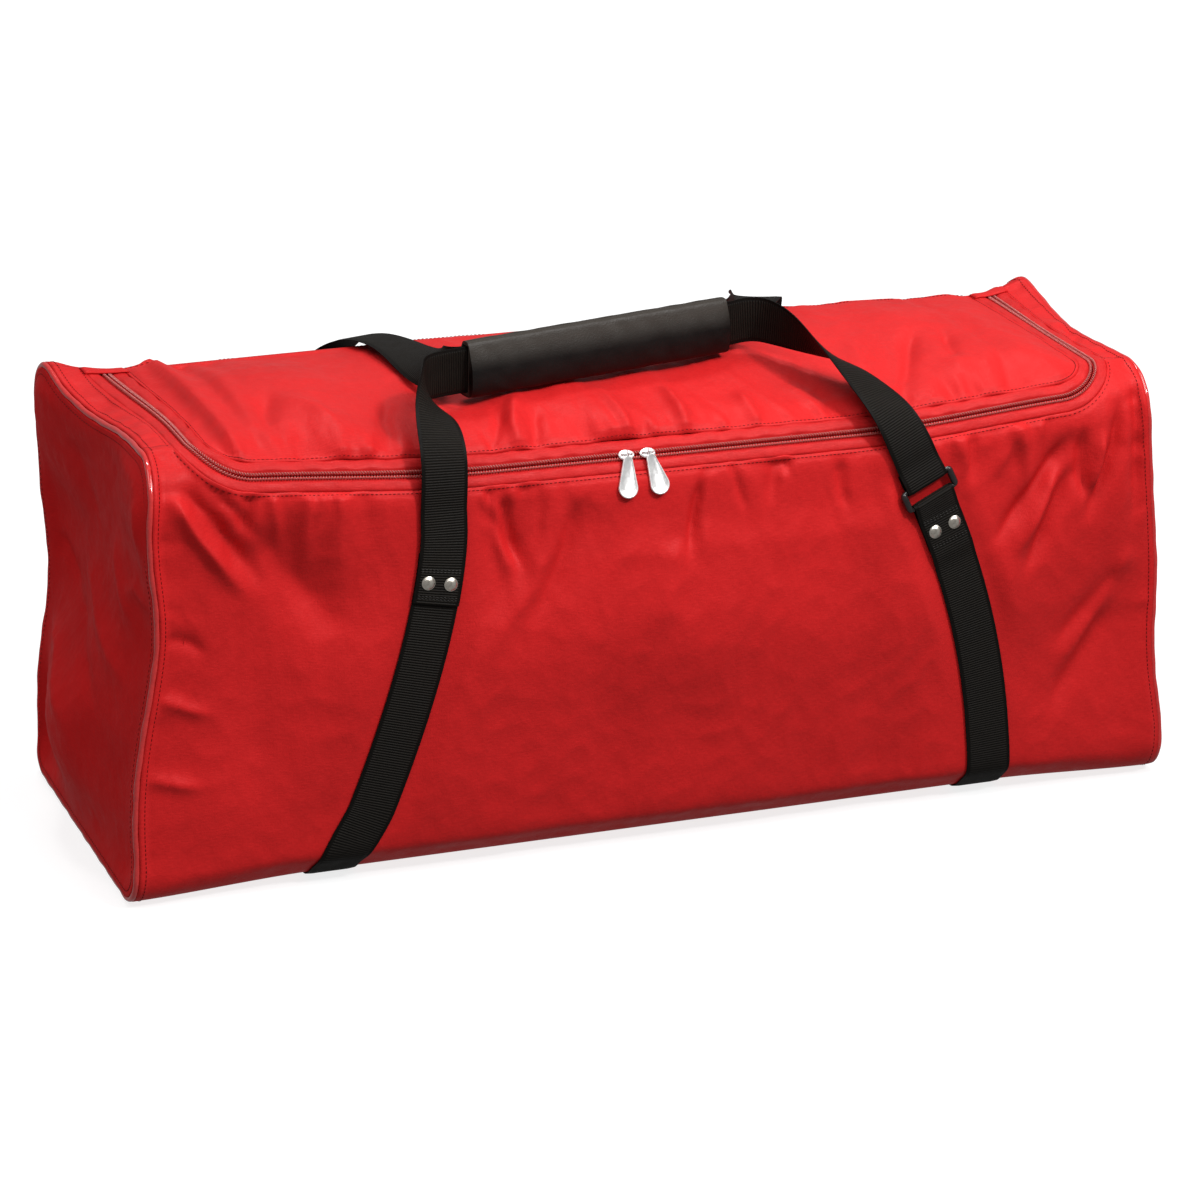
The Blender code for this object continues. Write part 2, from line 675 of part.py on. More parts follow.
def make_grip_half(name, facing, parent):
    """One side of the padded sleeve: facing 1 is the back, sewn side, and -1 the front flap."""
    outline = []
    edge = GAP / 2
    for degrees in range(-90, 91, 15):
        back, up = grip_section(math.radians(degrees), GRIP_DEPTH / 2, GRIP_HEIGHT / 2)
        outline.append((max(back, edge), up))
    slot_top = WEBBING_WIDTH / 2 + 2 * GAP
    outline += [(edge, slot_top), (SLOT_HALF, slot_top), (SLOT_HALF, -slot_top), (edge, -slot_top)]
    count = len(outline)
    vertices = []
    lengthwise = spread(-GRIP_LENGTH / 2, GRIP_LENGTH / 2, 8)
    middle = (GRIP_LEFT + GRIP_RIGHT) / 2
    for along in lengthwise:
        for back, up in outline:
            vertices.append(middle + GRIP_ALONG * along + GRIP_BACK * back * facing + GRIP_UP * up)
    faces = []
    for start in range(0, count * (len(lengthwise) - 1), count):
        faces += [
            (start + i, start + (i + 1) % count, start + (i + 1) % count + count, start + i + count)
            for i in range(count)
        ]
    last = count * (len(lengthwise) - 1)
    faces += [tuple(range(count)), tuple(range(last, last + count))]
    return mesh_object(name, "black_vinyl", vertices, faces, parent)


# --- Sliders, pulls and rivets --------------------------------------------------------------------
def slider_frame(x):
    """Place, lengthwise, uphill and outward directions on the middle of the zip at x."""
    along = (skin(x + 0.002, S_ZIP) - skin(x - 0.002, S_ZIP)).normalized()
    out = skin_normal(x, S_ZIP)
    return skin(x, S_ZIP), along, out.cross(along).normalized(), out


COIL_LIFT = 0.0004
COIL_THICKNESS = 0.0022


def slider_places(x):
    place, along, uphill, out = slider_frame(SLIDER_MIDDLE)
    offset = Vector((x - SLIDER_MIDDLE, 0, 0))
    return lambda a, u, o: place + offset + along * a + uphill * u + out * o


def make_slider(name, x, parent):
    """Top plate, neck between the coils, lower plate under the lid's coil, and the pull's bridge."""
    at = slider_places(x)
    top = COIL_LIFT + GAP
    under = COIL_LIFT - COIL_THICKNESS - GAP
    neck = COIL_INNER - GAP
    reach = 0.0055
    profile = [
        (-0.0042, top), (-neck, top), (-neck, under - 0.001), (reach, under - 0.001), (reach, under),
        (neck, under), (neck, top), (0.0048, top), (0.0048, top + 0.0012), (-0.0042, top + 0.0012),
    ]
    half_length = 0.0065
    count = len(profile)
    vertices = [at(a, u, o) for a in (-half_length, half_length) for u, o in profile]
    faces = [(i, (i + 1) % count, (i + 1) % count + count, i + count) for i in range(count)]
    faces += [tuple(range(count)), tuple(range(count, 2 * count))]
    body = mesh_object(name, "bright_metal", vertices, faces, parent, smooth=False)
    bridge = bridge_loop(name + "_bridge", at, top + 0.0012)
    union = body.modifiers.new("bridge", "BOOLEAN")
    union.operation = "UNION"
    union.object = bridge
    return body


BRIDGE_PIN = 0.0031         # height of the pull's pivot over the slider's top plate
BAR_HALF = 0.0008           # half thickness of the bridge's bar


def guide_object(piece):
    """Mark a piece as a Boolean's partner, so that it isn't a part of its own."""
    piece.hide_render = True
    piece.display_type = "WIRE"
    return piece


def bridge_loop(name, at, base):
    """Bar on two legs along the slider, which the pull's eye turns on."""
    low, bar, high = base - 0.0004, base + BRIDGE_PIN - BAR_HALF, base + BRIDGE_PIN + BAR_HALF
    outline = [
        (0.0052, low), (0.0052, high), (-0.0052, high), (-0.0052, low),
        (-0.0036, low), (-0.0036, bar), (0.0036, bar), (0.0036, low),
    ]
    count = len(outline)
    vertices = [at(a, u, o) for u in (-BAR_HALF, BAR_HALF) for a, o in outline]
    faces = [(i, (i + 1) % count, (i + 1) % count + count, i + count) for i in range(count)]
    faces += [tuple(range(count)), tuple(range(count, 2 * count))]
    return guide_object(mesh_object(name, "bright_metal", vertices, faces, smooth=False))


def pull_pivot(x):
    return slider_places(x)(0.0, 0.0, COIL_LIFT + GAP + 0.0012 + BRIDGE_PIN)


PULL_LENGTH = 0.034
PULL_WIDTH = 0.0165
PULL_HALF_THICKNESS = 0.0009
EYE_INNER = 0.0015          # bore of the pull's eye
EYE_OUTER = 0.0025
PULL_SPLAY = {"left": math.radians(5), "right": math.radians(-14)}


def make_pull(name, x, splay, parent):
    """Teardrop tag under an eye that turns on the slider's bar, leaning on the shoulder below."""
    pivot = pull_pivot(x)
    lean_out = math.radians(20)
    across = Vector((1, 0, 0))
    down = Vector((0, -math.sin(lean_out), -math.cos(lean_out)))
    out = across.cross(down)
    turn = Matrix.Rotation(splay, 3, out)
    tag_down, tag_across = turn @ down, turn @ across
    top_radius, bottom_radius = 0.0040, PULL_WIDTH / 2
    taper = math.asin((bottom_radius - top_radius) / (PULL_LENGTH - top_radius - bottom_radius))
    outline = []
    for i in range(7):
        a = (math.pi / 2 - taper) * (2 * i / 6 - 1)
        outline.append((top_radius * math.sin(a), top_radius * (1 - math.cos(a))))
    for i in range(11):
        a = (math.pi / 2 + taper) * (1 - 2 * i / 10)
        outline.append((bottom_radius * math.sin(a), PULL_LENGTH - bottom_radius * (1 - math.cos(a))))
    count = len(outline)
    vertices = [
        pivot + tag_across * w + tag_down * (d + EYE_OUTER - 0.0006) + out * level
        for level in (-PULL_HALF_THICKNESS, PULL_HALF_THICKNESS) for w, d in outline
    ]
    faces = [(i, (i + 1) % count, (i + 1) % count + count, i + count) for i in range(count)]
    faces += [tuple(range(count)), tuple(range(count, 2 * count))]
    pull = mesh_object(name, "bright_metal", vertices, faces, parent)
    profile = [(EYE_INNER, -0.002), (EYE_OUTER, -0.002), (EYE_OUTER, 0.002), (EYE_INNER, 0.002)]
    frame = Matrix.Translation(pivot) @ Matrix.Rotation(math.pi / 2, 4, "Y")
    eye = guide_object(turned(name + "_eye", "bright_metal", profile + profile[:1], frame, 16))
    union = pull.modifiers.new("eye", "BOOLEAN")
    union.operation = "UNION"
    union.object = eye
    return pull


CAP_RADIUS = 0.0056
SHANK_RADIUS = 0.0020
HOLE_RADIUS = 0.0024


def turned(name, finish, profile, frame, segments=12):
    """Solid of revolution about its own Z axis from (radius, height) points, placed by frame."""
    made = bmesh.new()
    points = [made.verts.new((radius, 0, height)) for radius, height in profile]
    edges = [made.edges.new(pair) for pair in zip(points, points[1:])]
    bmesh.ops.spin(made, geom=points + edges, cent=(0, 0, 0), axis=(0, 0, 1), angle=math.tau,
                   steps=segments, use_merge=True)
    bmesh.ops.remove_doubles(made, verts=made.verts, dist=1e-6)
    bmesh.ops.recalc_face_normals(made, faces=made.faces)
    bmesh.ops.transform(made, matrix=frame, verts=made.verts)
    mesh = bpy.data.meshes.new(name)
    made.to_mesh(mesh)
    made.free()
    mesh.shade_smooth()
    mesh.set_sharp_from_angle(angle=math.radians(35))
    return add_object(name, mesh, finish)


def rivet_frame(wall, lean, side):
    """Frame of one rivet on a wall: Z outwards, origin on the skin."""
    s = s_at(RIVET_Z)
    place, across = wall.station(lean, s, 0.0)
    out = wall.normal(x_for(place.x, s), s)
    place = wall.spin(place + across * side * RIVET_HALF_SPACING)
    return Matrix.Translation(place) @ wall.spin(out).to_track_quat("Z", "X").to_matrix().to_4x4()


def make_rivet(name, frame):
    """Domed cap over both webbing layers, shank through them, and washer inside the panel."""
    cap = SECOND_LAYER + WEBBING / 2 + GAP
    inner = -FABRIC - GAP
    profile = [(0.0, cap + 0.0024)]
    profile += [(CAP_RADIUS * math.sin(a), cap + 0.0006 + 0.0018 * math.cos(a))
                for a in (math.radians(d) for d in (30, 60, 90))]
    profile += [
        (CAP_RADIUS, cap), (SHANK_RADIUS, cap), (SHANK_RADIUS, inner),
        (0.0050, inner), (0.0050, inner - 0.0010), (0.0, inner - 0.0010),
    ]
    return turned(name, "bright_metal", profile, frame)


def make_drill(name, frame):
    """Cutter that clears a rivet's shank through the panel and the webbing."""
    drill = turned(name, "bright_metal", [(0.0, 0.008), (HOLE_RADIUS, 0.008), (HOLE_RADIUS, -0.006),
                                          (0.0, -0.006)], frame, 10)
    return guide_object(drill)


def drill_through(pieces, drill):
    for piece in pieces:
        cut = piece.modifiers.new("rivet_hole", "BOOLEAN")
        cut.operation = "DIFFERENCE"
        cut.object = drill


# --- Assembly -------------------------------------------------------------------------------------
def swing_point(wall):
    """Point of a handle's hinge line, level with the middle of its ring's lower bar."""
    bar = wall.spin(wall.by_ring(0.0, BAR_HEIGHT)[0])
    return Vector((0, bar.y, bar.z))


lid = joint_empty("lid_joint", skin(0.0, S_HINGE))
front_swing = joint_empty("front_handle_joint", swing_point(FRONT))
back_swing = joint_empty("back_handle_joint", swing_point(BACK))
flap_swing = joint_empty("grip_flap_joint", (GRIP_LEFT + GRIP_RIGHT) / 2 + GRIP_UP * GRIP_HEIGHT / 2)

front_panel = make_front_panel()
back_panel = make_back_panel()
make_bottom_panel()
for side_name, side in (("left", -1), ("right", 1)):
    make_end_panel(side_name + "_end_panel", side)
    make_piping(side_name + "_piping", side)
    make_top_strip(side_name + "_top_strip", side)
    make_zip_stop(side_name + "_zip_stop", side)

TAPE_INNER = COIL_OUTER + GAP
make_zip_strip("zip_tape_lower", "red_zip", -ZIP_BAND + SEAM_GAP, -TAPE_INNER, 0.0008, 0.0005)
make_zip_strip("zip_coil_lower", "red_zip", -COIL_OUTER, -COIL_INNER, COIL_THICKNESS, -COIL_LIFT)
make_zip_strip("zip_tape_upper", "red_zip", TAPE_INNER, ZIP_BAND - SEAM_GAP, 0.0008, 0.0005, lid)
make_zip_strip("zip_coil_upper", "red_zip", COIL_INNER, COIL_OUTER, COIL_THICKNESS, -COIL_LIFT, lid)
make_lid_panel(lid)

left_strap = make_girth_strap("left_girth_strap", FRONT, BACK)
right_strap = make_girth_strap("right_girth_strap", BACK, FRONT)
front_handle = make_handle("front_handle_webbing", FRONT, FRONT_FIRST_LEAD, inside_grip(-HANDLE_OFFSET),
                           FRONT_LAST_LEAD, front_swing)
back_handle = make_handle("back_handle_webbing", BACK, BACK_FIRST_LEAD, inside_grip(HANDLE_OFFSET)[::-1],
                          BACK_LAST_LEAD, back_swing)
make_grip_half("grip_back", 1, back_swing)
make_grip_half("grip_flap", -1, flap_swing)
for wall_name, wall in (("front", FRONT), ("back", BACK)):
    bar = joint_empty(wall_name + "_ring_joint", wall.spin(wall.by_ring(0.0, BAR_HEIGHT)[0]))
    make_ring(wall_name + "_ring", wall, bar)

for side_name, offset in (("left", -SLIDER_SPACING / 2), ("right", SLIDER_SPACING / 2)):
    slider_x = SLIDER_MIDDLE + offset
    slide = joint_empty(side_name + "_slider_joint", skin(slider_x, S_ZIP))
    make_slider(side_name + "_slider", slider_x, slide)
    hang = joint_empty(side_name + "_pull_joint", pull_pivot(slider_x))
    make_pull(side_name + "_pull", slider_x, PULL_SPLAY[side_name], hang)

RIVETED = (
    ("front_handle", FRONT, rivet_end_lean, (front_panel, left_strap, front_handle)),
    ("front_ring", FRONT, ring_end_lean, (front_panel, right_strap)),
    ("back_handle", BACK, rivet_end_lean, (back_panel, right_strap, back_handle)),
    ("back_ring", BACK, ring_end_lean, (back_panel, left_strap)),
)
for end_name, wall, lean, layers in RIVETED:
    for number, side in ((1, -1), (2, 1)):
        frame = rivet_frame(wall, lean, side)
        make_rivet(f"{end_name}_rivet_{number}", frame)
        drill_through(layers, make_drill(f"{end_name}_drill_{number}", frame))
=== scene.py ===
import json
import math

import bmesh
import bpy
import numpy as np
from mathutils import Matrix, Vector

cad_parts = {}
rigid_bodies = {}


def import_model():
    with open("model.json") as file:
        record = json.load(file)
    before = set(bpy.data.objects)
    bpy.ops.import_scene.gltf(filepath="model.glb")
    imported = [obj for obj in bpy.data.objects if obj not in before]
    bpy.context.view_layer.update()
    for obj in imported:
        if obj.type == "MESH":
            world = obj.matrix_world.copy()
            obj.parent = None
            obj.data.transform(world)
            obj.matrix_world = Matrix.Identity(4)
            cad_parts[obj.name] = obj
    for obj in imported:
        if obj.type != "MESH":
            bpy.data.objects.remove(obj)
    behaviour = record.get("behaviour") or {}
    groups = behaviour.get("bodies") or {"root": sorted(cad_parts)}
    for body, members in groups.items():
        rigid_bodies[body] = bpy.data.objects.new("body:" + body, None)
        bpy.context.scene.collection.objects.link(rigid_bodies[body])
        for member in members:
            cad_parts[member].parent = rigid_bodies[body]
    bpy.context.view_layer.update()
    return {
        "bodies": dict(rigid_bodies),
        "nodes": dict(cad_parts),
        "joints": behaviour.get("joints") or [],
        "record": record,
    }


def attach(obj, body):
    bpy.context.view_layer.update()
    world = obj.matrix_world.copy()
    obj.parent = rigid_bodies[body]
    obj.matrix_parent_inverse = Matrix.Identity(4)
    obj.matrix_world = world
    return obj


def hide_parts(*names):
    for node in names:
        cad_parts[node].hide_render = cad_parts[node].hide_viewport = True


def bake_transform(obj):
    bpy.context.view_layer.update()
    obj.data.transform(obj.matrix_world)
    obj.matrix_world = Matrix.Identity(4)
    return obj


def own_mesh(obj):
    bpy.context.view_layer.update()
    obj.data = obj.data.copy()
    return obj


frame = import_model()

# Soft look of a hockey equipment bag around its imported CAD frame. Metres, +Z up, X along the bag,
# -Y at the front. s is a distance along the girth: up the front, over the top and down the back.

# --- The CAD part's own dimensions --------------------------------------------------------------
LENGTH = 0.914
DEPTH = 0.316
END_HEIGHT = 0.362
CROWN = 0.01
END_LEAN = 0.026
WALL_LEAN = 0.016
WALL_BULGE = 0.008
ZIP_SAG = 0.018
BASE_RADIUS = 0.026
BASE_SEAM = 0.036
SHOULDER_RADIUS = 0.045
FABRIC = 0.002
GAP = 0.0003
LAYER_GAP = 0.0005
WEBBING_WIDTH = 0.038
WEBBING = 0.0016
PIPING_RADIUS = 0.0025
ZIP_BAND = 0.013
ZIP_RISE = 0.42
HINGE_DROP = 0.008
COIL_OUTER = 0.0032
COIL_INNER = 0.0006
ZIP_CORNER = 0.045
ZIP_SIDE = 0.392
SLIDER_SPACING = 0.018
SLIDER_MIDDLE = -0.033
STRAP_RECESS = WEBBING + LAYER_GAP
HALF_LENGTH = LENGTH / 2
TOP_HALF = HALF_LENGTH - END_LEAN
SEAM_INSET = 0.0056
FIRST_LAYER = LAYER_GAP + WEBBING / 2
SECOND_LAYER = 2 * LAYER_GAP + 1.5 * WEBBING
WALL_TOP = DEPTH / 2 - WALL_LEAN
EDGE_X = TOP_HALF - SEAM_INSET


def run_along(path):
    """Distance along a path at each of its points."""
    return np.concatenate([[0], np.cumsum(np.linalg.norm(np.diff(path, axis=0), axis=1))])


def fillet_path(corners, arc_steps):
    """Points of a polyline through (a, b, radius) corners, and where each arc starts and ends."""
    path, arcs = [], []
    for i, (a, b, radius) in enumerate(corners):
        corner = Vector((a, b))
        if radius == 0:
            path.append(corner)
            continue
        back = (Vector(corners[i - 1][:2]) - corner).normalized()
        ahead = (Vector(corners[(i + 1) % len(corners)][:2]) - corner).normalized()
        half = back.angle(ahead) / 2
        centre = corner + (back + ahead).normalized() * radius / math.sin(half)
        reach = radius / math.tan(half)
        first = (corner + back * reach - centre).normalized()
        last = (corner + ahead * reach - centre).normalized()
        arcs.append(len(path))
        turns = (first.slerp(last, k / arc_steps) for k in range(arc_steps + 1))
        path += [centre + turn.normalized() * radius for turn in turns]
        arcs.append(len(path) - 1)
    return np.array(path), arcs


GIRTH, ARCS = fillet_path([
    (-DEPTH / 2 + BASE_SEAM, STRAP_RECESS, 0),
    (-DEPTH / 2, STRAP_RECESS, BASE_RADIUS),
    (-WALL_TOP, END_HEIGHT, SHOULDER_RADIUS),
    (WALL_TOP, END_HEIGHT, SHOULDER_RADIUS),
    (DEPTH / 2, STRAP_RECESS, BASE_RADIUS),
    (DEPTH / 2 - BASE_SEAM, STRAP_RECESS, 0),
], 40)
DISTANCES = run_along(GIRTH)
GIRTH_LENGTH = DISTANCES[-1]
S_FRONT_BASE, S_SHOULDER, S_SHOULDER_END = (DISTANCES[ARCS[k]] for k in (1, 2, 3))
S_ZIP = S_SHOULDER + ZIP_RISE * (S_SHOULDER_END - S_SHOULDER)
S_HINGE = GIRTH_LENGTH - S_SHOULDER_END + HINGE_DROP


def on_girth(s):
    """Y and Z of the girth's outline at distance s."""
    return np.interp(s, DISTANCES, GIRTH[:, 0]), np.interp(s, DISTANCES, GIRTH[:, 1])


def smooth(low, high, value):
    """0 at low, 1 at high and smooth between them. The two may be given in falling order."""
    t = np.clip((value - low) / (high - low), 0, 1)
    return t * t * (3 - 2 * t)


def skin(x, s):
    """Outer skin of the CAD part at its own x (measured along the top edge) and girth distance s."""
    x, s = np.broadcast_arrays(np.asarray(x, float), np.asarray(s, float))
    y, z = on_girth(s)
    share = x / TOP_HALF
    middle = np.maximum(1 - share ** 2, 0)
    slack = 1 - smooth(0.35, 0.95, np.abs(share))
    towards_front = np.maximum(-y / WALL_TOP, 0) * (z / END_HEIGHT) ** 2
    swell = WALL_BULGE * middle * np.sin(math.pi * z / END_HEIGHT)
    crown = CROWN * middle * np.maximum(1 - (y / WALL_TOP) ** 2, 0) * smooth(0.5, 1.0, z / END_HEIGHT)
    return np.stack([
        share * (HALF_LENGTH - END_LEAN * z / END_HEIGHT),
        y + np.copysign(swell, y),
        z + crown - ZIP_SAG * slack * np.minimum(towards_front, 1),
    ], axis=-1)


def unit(vectors):
    """Vectors of length 1, along the last axis."""
    return vectors / np.maximum(np.linalg.norm(vectors, axis=-1, keepdims=True), 1e-12)


def tangents(x, s, step=0.002):
    """Directions of growing x and of growing s on the skin."""
    s = np.clip(s, step, GIRTH_LENGTH - step)
    return unit(skin(x + step, s) - skin(x - step, s)), unit(skin(x, s + step) - skin(x, s - step))


def normal(x, s):
    """Outward direction of the skin."""
    along, around = tangents(np.asarray(x, float), np.asarray(s, float))
    return unit(np.cross(along, around))


def x_for(place_x, s):
    """The skin's own x for a place's world x at distance s."""
    return place_x * TOP_HALF / (HALF_LENGTH - END_LEAN * on_girth(s)[1] / END_HEIGHT)


# --- Straps' courses on the walls ---------------------------------------------------------------
STRAP_BASE_X = 0.288
RIVET_END_X = -0.2
RING_END_X = 0.216
LEAN_TOP = 0.3
RIVET_Z = 0.256
PIVOT_Z = 0.284
RIVET_HALF_SPACING = 0.0092
BAR_RADIUS = 0.002
BAR_SPACING = 0.016
LOOP_RADIUS = BAR_RADIUS + GAP + WEBBING / 2
BAR_HEIGHT = FIRST_LAYER + LOOP_RADIUS + 2 * GAP


def riveted_lean(z):
    """World x of the strap below a handle's riveted end, on the front."""
    return RIVET_END_X - (STRAP_BASE_X + RIVET_END_X) * np.maximum(1 - z / LEAN_TOP, 0) ** 1.5


def ring_lean(z):
    """World x of the strap below a ring, on the front."""
    return STRAP_BASE_X - (STRAP_BASE_X - RING_END_X) * np.clip(z / LEAN_TOP, 0, 1) ** 1.9


def course(lean, s):
    """The skin's own x of a strap's middle at distance s up the front."""
    below = smooth(0.0, 0.09, s)
    base_x = math.copysign(STRAP_BASE_X, lean(0.0))
    return x_for(lean(on_girth(s)[1]) * below + base_x * (1 - below), s)


def slope(lean, s, step=0.002):
    """How far a strap's middle moves in x for each metre of s."""
    return (course(lean, s + step) - course(lean, s - step)) / (2 * step)


def s_at(z):
    """Distance along the girth where the front wall reaches height z."""
    top = int(np.argmax(GIRTH[:, 1]))
    return float(np.interp(z, GIRTH[:top + 1, 1], DISTANCES[:top + 1]))


# --- Sculpted relief: folds, puckers and slack --------------------------------------------------

def zip_distance(x, s):
    """Distance from the middle of the zip in the skin's own measures, positive towards the lid."""
    across = np.abs(x) - (ZIP_SIDE - ZIP_CORNER)
    down = S_ZIP + ZIP_CORNER - s
    outside = np.hypot(np.maximum(across, 0), np.maximum(down, 0))
    return ZIP_CORNER - outside - np.minimum(np.maximum(across, down), 0)


def near_strap(x, s, inner, outer):
    """1 on a strap and 0 clear of it, for the front and, turned half round, for the back."""
    found = np.zeros(np.broadcast(x, s).shape)
    for turn_x, turn_s in ((x, s), (-x, GIRTH_LENGTH - s)):
        for lean, end in ((riveted_lean, S_SHOULDER + 0.012), (ring_lean, s_at(PIVOT_Z) + 0.022)):
            beside = 1 - smooth(inner, outer, np.abs(turn_x - course(lean, turn_s)))
            found = np.maximum(found, beside * (1 - smooth(end, end + 0.02, turn_s)))
    return found


def waves(x, s, count, short, long, lean, seed):
    """Smooth random relief from plane waves, about 1 high. lean below 1 stretches it along s."""
    draw = np.random.default_rng(seed)
    total = np.zeros(np.broadcast(x, s).shape)
    for _ in range(count):
        size = 2 * math.pi / draw.uniform(short, long)
        angle = draw.uniform(0, math.pi)
        phase = draw.uniform(0, 2 * math.pi)
        total += np.sin(x * size * math.cos(angle) + s * size * math.sin(angle) * lean + phase)
    return total / math.sqrt(count / 2)


def pleat(x, s, path, width, height):
    """A fold along a path of (x, s) points: a ridge, or a groove where height is negative."""
    path = np.array(path, float)
    run = run_along(path)
    nearest = np.full(np.broadcast(x, s).shape, np.inf)
    share = np.zeros_like(nearest)
    for (ax, a_s), (bx, b_s), start, end in zip(path, path[1:], run, run[1:]):
        t = np.clip(((x - ax) * (bx - ax) + (s - a_s) * (b_s - a_s)) / (end - start) ** 2, 0, 1)
        away = np.hypot(x - ax - t * (bx - ax), s - a_s - t * (b_s - a_s))
        closer = away < nearest
        nearest = np.where(closer, away, nearest)
        share = np.where(closer, (start + t * (end - start)) / run[-1], share)
    fade = smooth(0, 0.25, share) * (1 - smooth(0.55, 1.0, share))
    return height * fade * np.exp(-(nearest / width) ** 1.6)


def puckers(along, away, places, widths, lengths, heights, slants):
    """Short folds that run away from a seam. along and away are measured from the seam."""
    total = np.zeros(np.broadcast(along, away).shape)
    for place, width, length, height, slant in zip(places, widths, lengths, heights, slants):
        beside = (along - place - slant * away) / (width * (1 + 0.8 * away / length))
        fall = np.exp(-(away / length) ** 2) * smooth(-0.001, 0.004, away)
        total += height * fall * np.exp(-np.abs(beside) ** 1.6)
    return total


def pucker_set(low, high, count, width, length, height, seed):
    """Arguments of puckers() for folds at random places from low to high, three in five of them ridges."""
    draw = np.random.default_rng(seed)
    signs = np.where(draw.uniform(0, 1, count) < 0.6, 1.0, -1.0)
    return (
        draw.uniform(low, high, count),
        draw.uniform(*width, count),
        draw.uniform(*length, count),
        draw.uniform(*height, count) * signs,
        draw.uniform(-0.35, 0.35, count),
    )


ZIP_LOWER_PUCKERS = pucker_set(-0.4, 0.4, 110, (0.003, 0.007), (0.014, 0.085), (0.001, 0.0034), 11)
ZIP_UPPER_PUCKERS = pucker_set(-0.36, 0.36, 90, (0.0032, 0.008), (0.014, 0.09), (0.0009, 0.0032), 12)
END_PUCKERS = pucker_set(0.0, GIRTH_LENGTH, 70, (0.003, 0.008), (0.01, 0.045), (0.0004, 0.0016), 13)

